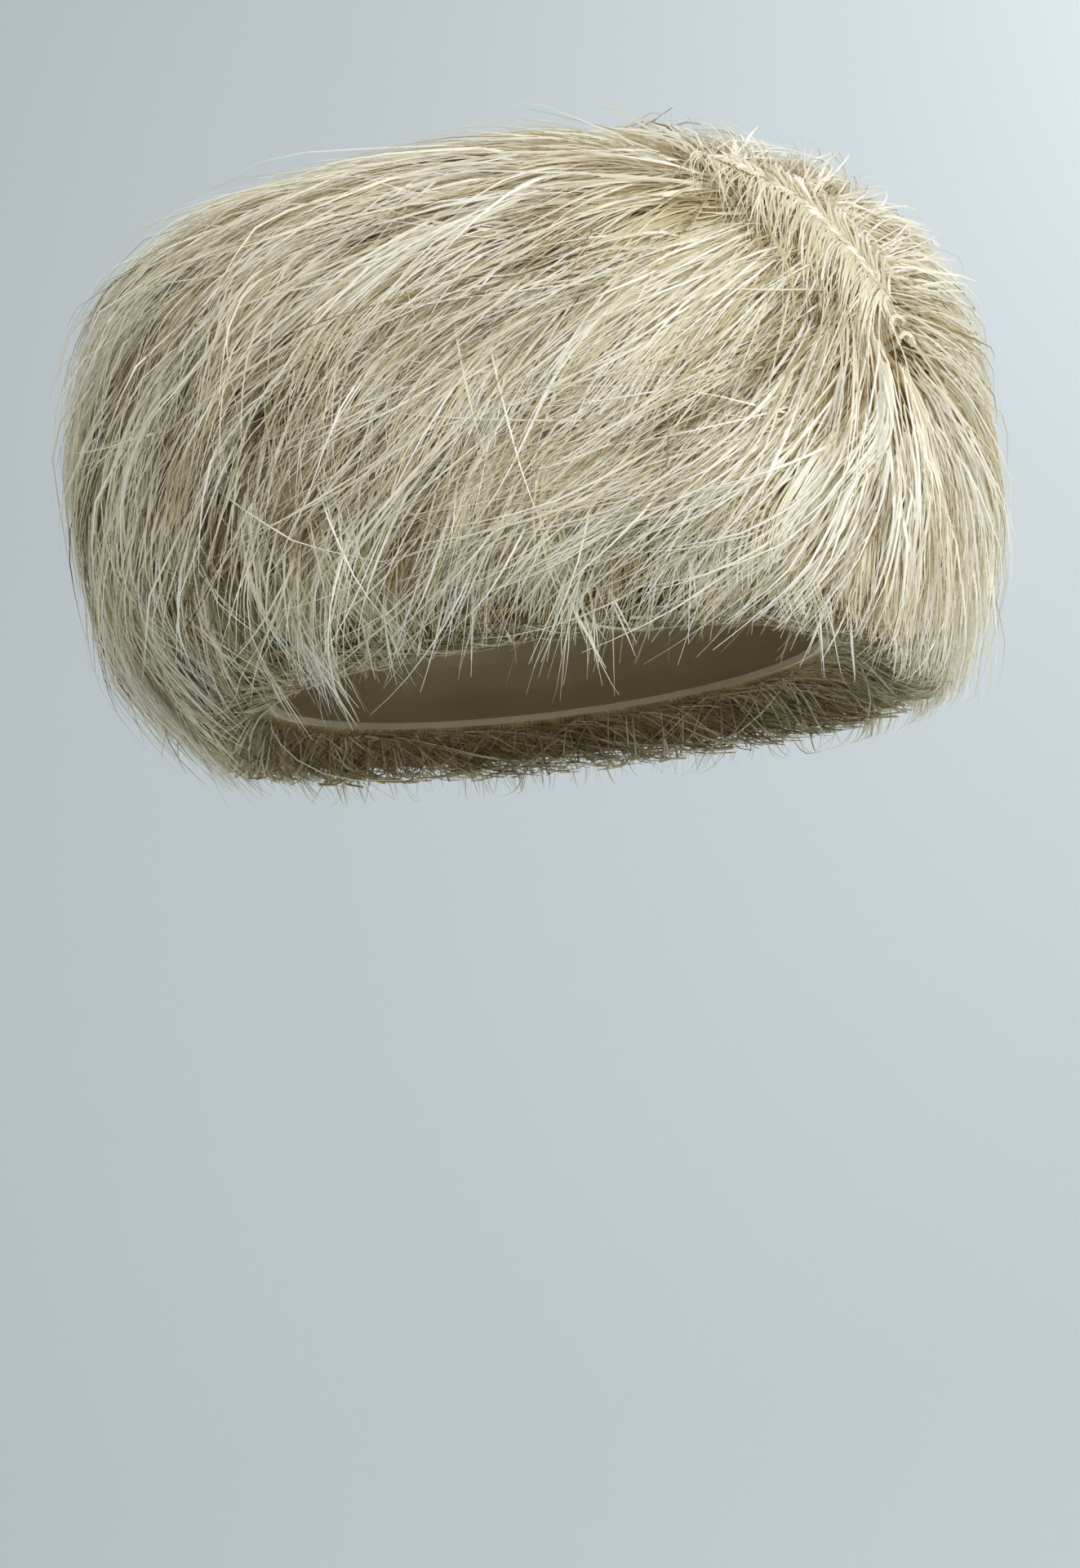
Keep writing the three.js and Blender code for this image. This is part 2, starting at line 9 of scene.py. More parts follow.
import bpy
import numpy as np
from mathutils import Euler, Matrix, Vector


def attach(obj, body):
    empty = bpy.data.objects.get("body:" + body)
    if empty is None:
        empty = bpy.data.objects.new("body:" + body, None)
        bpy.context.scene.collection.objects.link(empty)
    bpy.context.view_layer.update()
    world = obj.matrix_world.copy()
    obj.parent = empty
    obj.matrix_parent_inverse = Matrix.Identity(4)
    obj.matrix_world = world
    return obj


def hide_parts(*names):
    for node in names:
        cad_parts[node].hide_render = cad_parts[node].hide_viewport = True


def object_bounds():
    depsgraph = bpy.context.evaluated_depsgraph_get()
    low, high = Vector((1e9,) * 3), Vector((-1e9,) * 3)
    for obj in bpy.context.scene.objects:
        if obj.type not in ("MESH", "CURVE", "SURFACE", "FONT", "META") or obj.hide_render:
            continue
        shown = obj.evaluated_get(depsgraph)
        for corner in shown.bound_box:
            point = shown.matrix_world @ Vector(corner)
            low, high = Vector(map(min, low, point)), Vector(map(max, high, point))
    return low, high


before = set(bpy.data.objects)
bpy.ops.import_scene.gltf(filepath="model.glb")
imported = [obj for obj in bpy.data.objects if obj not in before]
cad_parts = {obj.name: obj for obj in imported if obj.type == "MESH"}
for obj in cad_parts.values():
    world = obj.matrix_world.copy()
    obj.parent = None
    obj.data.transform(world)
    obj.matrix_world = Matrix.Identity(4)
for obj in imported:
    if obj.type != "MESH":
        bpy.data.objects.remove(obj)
cad_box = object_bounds()

# Lengths of the form in millimetres, as in the part
FORM_WIDTH = 258.0
FORM_DEPTH = 264.0
FORM_HEIGHT = 141.0
FEATHER_DEPTH = 16.0
PARTING_LENGTH = 76.0
PARTING_OUT = FORM_WIDTH * 0.32
PARTING_FORWARD = FORM_DEPTH * 0.364
PARTING_TURN_DEGREES = -17.0
FRONT_LEAN = math.radians(22)
FRONT_LEAN_TURN = math.radians(12)
FRONT_LEAN_SPREAD = math.radians(65)
FRONT_LIFT = 14.0
FRONT_LIFT_START = 0.7
FRONT_LIFT_TURN = math.radians(15)
FRONT_LIFT_FLAT = math.radians(35)
FRONT_LIFT_SPREAD = math.radians(80)
FRONT_FLARE = 6.0
NEAR_CROWDING = 0.4
HEAD_BREADTH = 158.0
HEAD_LENGTH = 188.0
PLAN_ROUNDNESS = 2.25
LOCKS = 48

# The front's lean grows on a smooth curve and is full here on the way out, earlier than in the part
FRONT_LEAN_END = 0.86

MM = 0.001
FULL_TURN = 2 * math.pi
STEP = 1e-3

# The outer form from the top down: shares of half the width or depth, and of the height
ALONG = np.array([0.0, 0.12, 0.25, 0.37, 0.47, 0.56, 0.65, 0.74, 0.83, 0.91, 1.0])
FORM = {
    "reach": [0, 0.25, 0.52, 0.745, 0.89, 0.968, 1.0, 1.0, 0.98, 0.93, 0.865],
    "rise": [1, 0.992, 0.957, 0.872, 0.742, 0.6, 0.45, 0.3, 0.155, 0.02, -0.128],
    "tuck_reach": [0, 0.25, 0.535, 0.74, 0.878, 0.948, 0.968, 0.968, 0.935, 0.85, 0.735],
    "tuck_rise": [1, 0.99, 0.948, 0.87, 0.745, 0.59, 0.442, 0.3, 0.157, 0.015, -0.11],
    "depth": [1, 1, 1, 1, 1, 1, 1, 0.95, 0.8, 0.6, 0.35],
}


def column_slopes(values):
    last = len(values) - 1
    return np.array([
        (values[min(last, i + 1)] - values[max(0, i - 1)])
        / (ALONG[min(last, i + 1)] - ALONG[max(0, i - 1)])
        for i in range(last + 1)
    ])


COLUMNS = {name: (np.array(v, float), column_slopes(v)) for name, v in FORM.items()}


def smooth(t):
    t = np.clip(t, 0.0, 1.0)
    return t * t * (3 - 2 * t)


def mix(a, b, t):
    return a + (b - a) * t


def unit(v):
    return v / np.maximum(1e-9, np.linalg.norm(v, axis=-1, keepdims=True))


def around(radius, angle, height):
    """Points or steps round the upright axis."""
    return np.stack([radius * np.cos(angle), radius * np.sin(angle), height], -1)


def column_at(name, along):
    """A column of the form at places along it, on a smooth curve through its rows."""
    values, slopes = COLUMNS[name]
    row = np.searchsorted(ALONG[1:-1], along, side="left")
    span = ALONG[row + 1] - ALONG[row]
    t = (along - ALONG[row]) / span
    rise = values[row + 1] - values[row]
    start_pull = slopes[row] * span - rise
    end_pull = rise - slopes[row + 1] * span
    return values[row] + t * rise + t * (1 - t) * ((1 - t) * start_pull + t * end_pull)


def oval_radius(angle, half_x, half_y, roundness):
    across = np.abs(np.cos(angle) / half_x) ** roundness
    deep = np.abs(np.sin(angle) / half_y) ** roundness
    return (across + deep) ** (-1 / roundness)


def angle_from_front(angle):
    return np.arctan2(np.cos(angle), -np.sin(angle))


def lift_share(angle):
    """How far the hem is lifted: 1 over the flat of the front and its left, 0 past the spread."""
    from_middle = np.abs(angle_from_front(angle) + FRONT_LIFT_TURN)
    return 1 - smooth((from_middle - FRONT_LIFT_FLAT) / (FRONT_LIFT_SPREAD - FRONT_LIFT_FLAT))


def profile_at(along, angle):
    lifted = lift_share(angle) * smooth((along - FRONT_LIFT_START) / (1 - FRONT_LIFT_START))
    tuck = smooth((1 - np.cos(angle)) / 2)
    reach = mix(column_at("reach", along), column_at("tuck_reach", along), tuck)
    rise = mix(column_at("rise", along), column_at("tuck_rise", along), tuck)
    radius = reach * oval_radius(angle, FORM_WIDTH / 2, FORM_DEPTH / 2, PLAN_ROUNDNESS)
    return radius + FRONT_FLARE * lifted, rise * FORM_HEIGHT + FRONT_LIFT * lifted


def form_frame(along, angle):
    """Points on the outer form and the unit steps out of it."""
    radius, height = profile_at(along, angle)
    r0, h0 = profile_at(np.maximum(0, along - STEP), angle)
    r1, h1 = profile_at(np.minimum(1, along + STEP), angle)
    run = np.hypot(r1 - r0, h1 - h0)
    out_r, out_h = -(h1 - h0) / run, (r1 - r0) / run
    return around(radius, angle, height), around(out_r, angle, out_h)


# The parting and the flow of the feathers from it
LINE_SAMPLES = 41
parting_angle = -math.atan2(PARTING_FORWARD, PARTING_OUT)
samples = np.linspace(0, 1, LINE_SAMPLES)
line_r, line_h = profile_at(samples, np.full(LINE_SAMPLES, parting_angle))
form_length = float(np.hypot(np.diff(line_r), np.diff(line_h)).sum())
fine = np.arange(0, 1, STEP)
fine_r, _ = profile_at(fine, np.full(len(fine), parting_angle))
along_at_radius = float(fine[np.argmax(fine_r >= math.hypot(PARTING_OUT, PARTING_FORWARD))])
pole = along_at_radius * complex(math.cos(parting_angle), math.sin(parting_angle))
parting_turn = math.radians(PARTING_TURN_DEGREES)
parting_way = complex(math.cos(parting_turn), math.sin(parting_turn))
parting_half = PARTING_LENGTH / 2 / form_length


def rim_angle_of(turn):
    """The rim angle at which a turn's line ends. Lines are closer together by the parting."""
    return turn - NEAR_CROWDING * np.sin(turn - parting_angle)


def lean_at(rim, out):
    """How far a line has leant to the left, which only the front's lines do."""
    from_middle = np.abs(angle_from_front(rim) - FRONT_LEAN_TURN)
    place = np.minimum(1, from_middle / FRONT_LEAN_SPREAD)
    return FRONT_LEAN * (1 + np.cos(place * math.pi)) / 2 * smooth(out / FRONT_LEAN_END)


def disc_point(rim, out):
    """Places on the plan disc for a share of the way out to the rim at the given angle."""
    edge = np.exp(1j * (rim - lean_at(rim, out)))
    leave = (edge - pole) / (1 - np.conj(pole) * edge)
    q = leave * out
    w = (q + pole) / (1 + np.conj(pole) * q)
    spread = parting_half * (1 - out) ** 2
    w = w + spread * (leave * np.conj(parting_way)).real * parting_way
    return np.minimum(1, np.abs(w)), np.angle(w)


# A table of the flow lines' real lengths, so that feathers can be placed by them
RIM_STEPS = 1440
OUT_STEPS = 64
table_rim = np.arange(RIM_STEPS) / RIM_STEPS * FULL_TURN
table_out = np.linspace(0, 1, OUT_STEPS + 1)
grid_rim, grid_out = np.meshgrid(table_rim, table_out, indexing="ij")
grid_points, _ = form_frame(*disc_point(grid_rim, grid_out))
grid_steps = np.linalg.norm(np.diff(grid_points, axis=1), axis=2)
grid_lengths = np.concatenate([np.zeros((RIM_STEPS, 1)), np.cumsum(grid_steps, 1)], 1)
line_lengths = grid_lengths[:, -1]
share_table = np.stack([
    np.interp(table_out * length[-1], length, table_out) for length in grid_lengths
])


def out_at(rim, share):
    """The share of the way out on the disc for a share of a flow line's real length."""
    place = (rim / FULL_TURN * RIM_STEPS) % RIM_STEPS
    low = np.floor(place).astype(int) % RIM_STEPS
    high = (low + 1) % RIM_STEPS
    part = place - np.floor(place)
    down = np.clip(share, 0, 1) * OUT_STEPS
    row = np.minimum(down.astype(int), OUT_STEPS - 1)
    rest = down - row
    first = mix(share_table[low, row], share_table[low, row + 1], rest)
    second = mix(share_table[high, row], share_table[high, row + 1], rest)
    return mix(first, second, part)


def line_length(rim):
    return np.interp(rim % FULL_TURN, table_rim, line_lengths)


# What lies past the end of a line goes on in the direction of its last stretch, from this share on
LAST_STRETCH = 0.96


def flow_frame(rim, share):
    """Points on the outer form along flow lines, past the hanging ends too, and the steps out."""
    point, outward = form_frame(*disc_point(rim, out_at(rim, share)))
    past = np.maximum(0, share - 1)
    if np.any(past > 0):
        end, _ = form_frame(*disc_point(rim, out_at(rim, np.ones_like(share))))
        near, _ = form_frame(*disc_point(rim, out_at(rim, np.full_like(share, LAST_STRETCH))))
        point = point + unit(end - near) * (past * line_length(rim))[..., None]
    return point, outward


def feather_depth(rim, share):
    along, _ = disc_point(rim, out_at(rim, share))
    return FEATHER_DEPTH * column_at("depth", along)


# The top of the solid feathers as a layer: full on the crown and sides, and lower at the hem
HEM_LAYER = 0.62
HEM_LAYER_FROM = 0.8
HEM_LAYER_OVER = 0.14


def top_layer(share):
    return mix(1.0, HEM_LAYER, smooth((share - HEM_LAYER_FROM) / HEM_LAYER_OVER))


# Roots are sown evenly over the form's real area
SOW_TURNS = 720
SOW_SHARES = 60
sow_turn = (np.arange(SOW_TURNS) + 0.5) / SOW_TURNS * FULL_TURN
sow_share = (np.arange(SOW_SHARES) + 0.5) / SOW_SHARES
sow_grid = np.meshgrid(rim_angle_of(sow_turn), sow_share, indexing="ij")
sow_points, _ = flow_frame(*sow_grid)
sow_area = np.linalg.norm(np.cross(
    np.gradient(sow_points, axis=0), np.gradient(sow_points, axis=1)
), axis=-1)


def sow(rng, count, turn_from, turn_to, share_from, share_to):
    """Rim angles and shares of a number of roots between two turns and two shares."""
    inside = (sow_turn[:, None] - turn_from) % FULL_TURN < turn_to - turn_from
    wanted = inside & (sow_share >= share_from) & (sow_share <= share_to)[None]
    weight = (sow_area * wanted).ravel()
    cells = rng.choice(weight.size, count, p=weight / weight.sum())
    turn_cell, share_cell = np.divmod(cells, SOW_SHARES)
    turn = (turn_cell + rng.random(count)) / SOW_TURNS * FULL_TURN
    share = (share_cell + rng.random(count)) / SOW_SHARES
    return rim_angle_of(turn), share


# Patches of tone lie all over, and where a patch is at its lowest a deeper brown is painted shade for the
# gaps between the feathers
BROAD_SHARE = 0.6
SMALL_SHARE = 0.4
PATCH_CHANGE = 0.12
PAINTED_GAP_SHADE_BELOW = -0.25
PAINTED_GAP_SHADE_DEPTH = 0.3

# Painted shade on the left, the side turned from the key light: how much darker, from how far left of the
# middle, and over what length
PAINTED_LEFT_SHADE_DEPTH = 0.32
PAINTED_LEFT_SHADE_FROM = 35
PAINTED_LEFT_SHADE_OVER = 55

# Painted shade where the feathers part, and painted light where they lie on top: a place, its reach and
# its change of tone
PAINTED_SHADE_AND_LIGHT = [
    {"x": -52, "y": -120, "z": 64, "reach": 12, "change": -0.26},
    {"x": -4, "y": -130, "z": 65, "reach": 11, "change": -0.26},
    {"x": 63, "y": -119, "z": 46, "reach": 9, "change": -0.14},
    {"x": 75, "y": -113, "z": 40, "reach": 9, "change": -0.22},
    {"x": 56, "y": -121, "z": 26, "reach": 8, "change": -0.12},
    {"x": -17, "y": -121, "z": 14, "reach": 10, "change": -0.12},
    {"x": -50, "y": -111, "z": 14, "reach": 17, "change": -0.14},
    {"x": 45, "y": -125, "z": 62, "reach": 15, "change": -0.08},
    {"x": 80, "y": -105, "z": 77, "reach": 7, "change": -0.5},
    {"x": 73, "y": -105, "z": 85, "reach": 7, "change": -0.45},
    {"x": -72, "y": -111, "z": 56, "reach": 13, "change": 0.16},
    {"x": -37, "y": -126, "z": 52, "reach": 11, "change": 0.18},
    {"x": 66, "y": -112, "z": 16, "reach": 10, "change": 0.12},
    {"x": 101, "y": -89, "z": 33, "reach": 14, "change": 0.1},
]


def patches(points):
    """A slow change of tone from place to place, from -1 to 1: broad waves and small ones."""
    x, y, z = points[..., 0], points[..., 1], points[..., 2]
    broad = np.sin(x / 13.0 + 1.3 + np.sin(z / 17.0)) * np.sin(y / 15.0 + z / 12.0 + 0.4)
    small = np.sin(x / 6.1 - z / 5.3) * np.sin(y / 5.2 + z / 7.9 + 2.0)
    return BROAD_SHARE * broad + SMALL_SHARE * small


def tone_and_painted_light_of(points):
    """The change of tone by place: random patches, with painted shade and painted light."""
    patch = patches(points)
    # a deeper brown where a patch is lowest: painted shade in the gaps
    change = PATCH_CHANGE * patch - PAINTED_GAP_SHADE_DEPTH * np.maximum(0, PAINTED_GAP_SHADE_BELOW - patch)
    # painted shade on the left
    change = change - PAINTED_LEFT_SHADE_DEPTH * smooth((-points[..., 0] - PAINTED_LEFT_SHADE_FROM) / PAINTED_LEFT_SHADE_OVER)
    # painted shade and painted light at the listed places
    for spot in PAINTED_SHADE_AND_LIGHT:
        place = np.array([spot["x"], spot["y"], spot["z"]])
        apart = ((points - place) ** 2).sum(-1) / spot["reach"] ** 2
        change = change + spot["change"] * np.exp(-apart)
    return change


# The nearest place of the form to any point, found along the profile at the point's angle
NEAREST_STEPS = 72
nearest_along = np.linspace(0, 1, NEAREST_STEPS + 1)


def nearest_frame(points):
    """The form's nearest points, the steps out there and the depth of the feathers."""
    flat = points.reshape(-1, 3)
    angle = np.arctan2(flat[:, 1], flat[:, 0])
    radius = np.hypot(flat[:, 0], flat[:, 1])
    reach, rise = profile_at(nearest_along, angle[:, None])
    far = (reach - radius[:, None]) ** 2 + (rise - flat[:, 2:3]) ** 2
    row = np.clip(np.argmin(far, axis=1), 1, NEAREST_STEPS - 1)
    index = np.arange(len(row))
    before, here, after = far[index, row - 1], far[index, row], far[index, row + 1]
    bend = before - 2 * here + after
    shift = np.where(np.abs(bend) > 1e-9, 0.5 * (before - after) / np.where(bend == 0, 1, bend), 0)
    along = np.clip((row + np.clip(shift, -1, 1)) / NEAREST_STEPS, 0, 1)
    point, outward = form_frame(along, angle)
    thick = FEATHER_DEPTH * column_at("depth", along)
    return point.reshape(points.shape), outward.reshape(points.shape), thick.reshape(points.shape[:-1])


def mesh_object(name, points, quads, tone):
    """A mesh of four-sided faces with a tone on each point."""
    mesh = bpy.data.meshes.new(name)
    count = len(quads)
    mesh.vertices.add(len(points))
    mesh.vertices.foreach_set("co", (points * MM).astype(np.float32).ravel())
    mesh.loops.add(count * 4)
    mesh.loops.foreach_set("vertex_index", quads.astype(np.int32).ravel())
    mesh.polygons.add(count)
    mesh.polygons.foreach_set("loop_start", np.arange(0, count * 4, 4, dtype=np.int32))
    mesh.polygons.foreach_set("use_smooth", np.ones(count, bool))
    mesh.update(calc_edges=True)
    mesh.validate()
    attribute = mesh.attributes.new("tone", "FLOAT", "POINT")
    attribute.data.foreach_set("value", tone.astype(np.float32))
    obj = bpy.data.objects.new(name, mesh)
    bpy.context.collection.objects.link(obj)
    return obj


def add_map(obj, name, across, down):
    """A map of the surface, from each point's place across and down."""
    mesh = obj.data
    layer = mesh.uv_layers.new(name=name)
    loops = np.empty(len(mesh.loops), np.int32)
    mesh.loops.foreach_get("vertex_index", loops)
    places = np.stack([across[loops], down[loops]], 1)
    layer.uv.foreach_set("vector", places.astype(np.float32).ravel())


# The strands' map has their tone as the place across, and strips down it that they take in turn
MAP_EDGE = 0.005
TONE_ACROSS = 0.004
STRIPS = 14
STRIP_STEP = 0.066
STRIP_START = 0.02
STRIP_LENGTH = 0.06


def ribbons(paths, outward, half_width, twist, tone):
    """Flat ribbons along paths: points, quads, tone of each point and its place down the map."""
    count, length = paths.shape[:2]
    along = np.gradient(paths, axis=1)
    aside = unit(np.cross(outward, along))
    across = aside * np.cos(twist)[..., None] + outward * np.sin(twist)[..., None]
    left = paths - across * half_width[..., None]
    right = paths + across * half_width[..., None]
    points = np.stack([left, right], 2).reshape(-1, 3)
    first = (np.arange(count)[:, None] * length + np.arange(length - 1)[None]).ravel() * 2
    quads = np.stack([first, first + 1, first + 3, first + 2], 1)
    tones = np.stack([tone, tone + TONE_ACROSS], 2).reshape(-1)
    run = np.linspace(0, 1, length)[None, :, None]
    down = np.broadcast_to(STRIP_START + STRIP_LENGTH * run, (count, length, 2))
    shift = (np.arange(count) % STRIPS)[:, None, None] * STRIP_STEP
    return points, quads, tones, (down + shift).reshape(-1)


def joined_ribbons(name, sets):
    """One object from sets of points, quads, tones and places down the map."""
    starts = np.cumsum([0] + [len(points) for points, _, _, _ in sets])
    all_quads = [quads + start for (_, quads, _, _), start in zip(sets, starts)]
    points, _, tones, downs = (np.concatenate(arrays) for arrays in zip(*sets))
    obj = mesh_object(name, points, np.concatenate(all_quads), tones)
    add_map(obj, "OFBake", np.clip(tones, MAP_EDGE, 1 - MAP_EDGE), downs)
    return obj


# Materials
def new_material(name):
    material = bpy.data.materials.new(name)
    material.use_nodes = True
    tree = material.node_tree
    tree.nodes.clear()
    output = tree.nodes.new("ShaderNodeOutputMaterial")
    return material, tree, output.inputs["Surface"]


def linear(hex_colour):
    values = [int(hex_colour[i : i + 2], 16) / 255 for i in (1, 3, 5)]
    return [v / 12.92 if v <= 0.04045 else ((v + 0.055) / 1.055) ** 2.4 for v in values] + [1.0]


def ramp(tree, factor, stops):
    """Colours by a factor, from stops of a position and a colour."""
    node = tree.nodes.new("ShaderNodeValToRGB")
    elements = node.color_ramp.elements
    while len(elements) > 1:
        elements.remove(elements[-1])
    elements[0].position = stops[0][0]
    elements[0].color = linear(stops[0][1])
    for position, colour in stops[1:]:
        element = elements.new(position)
        element.color = linear(colour)
    tree.links.new(factor, node.inputs["Fac"])
    return node.outputs["Color"]


def noise(tree, place, scale, detail=2.0):
    node = tree.nodes.new("ShaderNodeTexNoise")
    node.inputs["Scale"].default_value = scale
    node.inputs["Detail"].default_value = detail
    tree.links.new(place, node.inputs["Vector"])
    return node.outputs["Fac"]


def bump(tree, height, strength, distance):
    node = tree.nodes.new("ShaderNodeBump")
    node.inputs["Strength"].default_value = strength
    node.inputs["Distance"].default_value = distance
    tree.links.new(height, node.inputs["Height"])
    return node.outputs["Normal"]


def coated(tree, colour, roughness):
    """A surface shader with a colour and a roughness."""
    shader = tree.nodes.new("ShaderNodeBsdfPrincipled")
    shader.inputs["Roughness"].default_value = roughness
    tree.links.new(colour, shader.inputs["Base Color"])
    return shader


STRAND_TONES = [
    (0.0, "#463322"),
    (0.2, "#8a744c"),
    (0.4, "#c0af83"),
    (0.6, "#e0d6b3"),
    (0.8, "#f3ecd2"),
    (1.0, "#fffdf4"),
]
STRAND_GLOW = 0.28


def strand_material():
    """Barbs: glossy, with some light let through, and coloured by the tone of their points."""
    material, tree, surface = new_material("feather_strands")
    tone = tree.nodes.new("ShaderNodeAttribute")
    tone.attribute_name = "tone"
    colour = ramp(tree, tone.outputs["Fac"], STRAND_TONES)
    shader = coated(tree, colour, roughness=0.32)
    shader.inputs["Specular IOR Level"].default_value = 0.75
    glow = tree.nodes.new("ShaderNodeBsdfTranslucent")
    tree.links.new(colour, glow.inputs["Color"])
    blend = tree.nodes.new("ShaderNodeMixShader")
    blend.inputs[0].default_value = STRAND_GLOW
    tree.links.new(shader.outputs[0], blend.inputs[1])
    tree.links.new(glow.outputs[0], blend.inputs[2])
    tree.links.new(blend.outputs[0], surface)
    return material


def painted_shade_bed_material():
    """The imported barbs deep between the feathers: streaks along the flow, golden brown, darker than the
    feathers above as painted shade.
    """
    material, tree, surface = new_material("feather_bed_painted_shade")
    place = tree.nodes.new("ShaderNodeUVMap")
    place.uv_map = "flow"
    stretch = tree.nodes.new("ShaderNodeMapping")
    stretch.inputs["Scale"].default_value = (1.0, 0.02, 1.0)
    tree.links.new(place.outputs["UV"], stretch.inputs["Vector"])
    streaks = noise(tree, stretch.outputs["Vector"], scale=900.0, detail=3.0)
    # darker than the feathers: painted shade
    colour = ramp(tree, streaks, [(0.25, "#665032"), (0.5, "#a98f5f"), (0.75, "#d6c69c")])
    shader = coated(tree, colour, roughness=0.7)
    relief = bump(tree, streaks, strength=0.8, distance=0.0006)
    tree.links.new(relief, shader.inputs["Normal"])
    tree.links.new(shader.outputs[0], surface)
    return material


def felt_material():
    """The crown base: pale matt felt with fine fibres."""
    material, tree, surface = new_material("crown_felt")
    place = tree.nodes.new("ShaderNodeTexCoord").outputs["Object"]
    colour = ramp(tree, noise(tree, place, scale=22.0), [(0.3, "#b9a988"), (0.7, "#d3c6a6")])
    shader = coated(tree, colour, roughness=0.9)
    shader.inputs["Sheen Weight"].default_value = 0.3
    fibres = noise(tree, place, scale=700.0, detail=4.0)
    relief = bump(tree, fibres, strength=0.5, distance=0.0004)
    tree.links.new(relief, shader.inputs["Normal"])
    tree.links.new(shader.outputs[0], surface)
    return material


def quill_material():
    """The knotted quill ends: pale and smooth."""
    material, tree, surface = new_material("quill")
    place = tree.nodes.new("ShaderNodeTexCoord").outputs["Object"]
    colour = ramp(tree, noise(tree, place, scale=260.0), [(0.3, "#cfc5a2"), (0.7, "#f2ecd8")])
    shader = coated(tree, colour, roughness=0.4)
    tree.links.new(shader.outputs[0], surface)
    return material


strands_look = strand_material()
painted_shade_bed_look = painted_shade_bed_material()
felt_look = felt_material()
quill_look = quill_material()


# The bed: a ridged sheet under the feathers of each row, with ragged ends, darker than the feathers as
# painted shade between them
BED_COLUMNS_PER_LOCK = 8
BED_ROWS = 16
BED = {
    "hem": {"root": 0.6, "tip": 0.95, "low": 0.14, "high": 0.34},
    "side": {"root": 0.25, "tip": 0.8, "low": 0.2, "high": 0.44},
    "crown": {"root": 0.03, "tip": 0.46, "low": 0.22, "high": 0.5},
}
RIDGE = {"sway": 0.12, "sway_wave": 2.3, "longer": 0.03, "ragged": 0.05, "uneven": 0.03}


def sheet_of(name, points, across, down):
    """A sheet through a grid of points, with a map in which the flow runs down, in the bed's darker
    painted shade.
    """
    index = np.arange(across.size).reshape(across.shape)
    quads = np.stack([index[:-1, :-1], index[:-1, 1:], index[1:, 1:], index[1:, :-1]], -1)
    obj = mesh_object(name, points.reshape(-1, 3), quads.reshape(-1, 4), np.zeros(across.size))
    add_map(obj, "flow", across.ravel(), down.ravel())
    obj.data.materials.append(painted_shade_bed_look)
    return obj


def bed(name, kind, turn_from, turn_to, seed):
    """The bed of a pad between two turns, with a ridge for each lock."""
    rng = np.random.default_rng(seed)
    row = BED[kind]
    locks = round(LOCKS * (turn_to - turn_from) / FULL_TURN)
    columns = locks * BED_COLUMNS_PER_LOCK + 1
    rims = rim_angle_of(np.linspace(turn_from, turn_to, columns))
    phase = np.arange(columns) / BED_COLUMNS_PER_LOCK
    sway = RIDGE["sway"] * np.sin(RIDGE["sway_wave"] * phase + seed)
    ridge = np.abs(np.sin(np.pi * (phase + sway)))
    ends = row["tip"] - RIDGE["ragged"] * rng.random(columns) + RIDGE["longer"] * ridge
    down = np.linspace(0, 1, BED_ROWS + 1)
    share = row["root"] + (ends - row["root"])[:, None] * down[None]
    rim = np.broadcast_to(rims[:, None], share.shape)
    layer = mix(row["low"], row["high"], ridge[:, None]) * top_layer(share)
    layer = layer + RIDGE["uneven"] * rng.normal(size=(columns, 1))
    point, outward = flow_frame(rim, share)
    points = point - outward * (feather_depth(rim, share) * (1 - layer))[..., None]
    return sheet_of(name, points, rim / FULL_TURN, share)


# Strands widen from the root over this share of their length
WIDENS_OVER = 0.2


def taper(t, root, tip, tip_from):
    """The share of a strand's width along it: less at the root, and down to that of the tip."""
    widening = mix(root, 1.0, smooth(t / WIDENS_OVER))
    return widening * mix(1.0, tip, smooth((t - tip_from) / (1 - tip_from)))


def painted_root_shade(t, depth, end):
    """Painted shade at a strand's root, where other strands lie over it: how much darker it is along it,
    from its root to where the shade ends.
    """
    return depth * (1 - smooth(t / end))


# The feathers: fans of fine strands that follow the flow, each from a narrow root. The table holds
# what all rows share, as lengths in millimetres, shares and factors.
FAN_STRANDS = 30
FAN_STEPS = 8
FAN = {
    "side_end": 0.15, "shortest": 0.45, "outer_bias": 0.8, "full_layer_at": 0.6,
    "root_opening": 0.22, "open_at": 0.42, "splay": 1.2, "wrap": 230,
    "loose_share": 0.4, "firm": 0.3, "splits": 3, "split": 0.9,
    "stray": 0.9, "wander_share": 0.05, "wander": 4.5, "sway_length": 100, "lift": 0.4,
    "strand_width": 0.72, "golden": 0.16, "tip_light": 0.05,
}


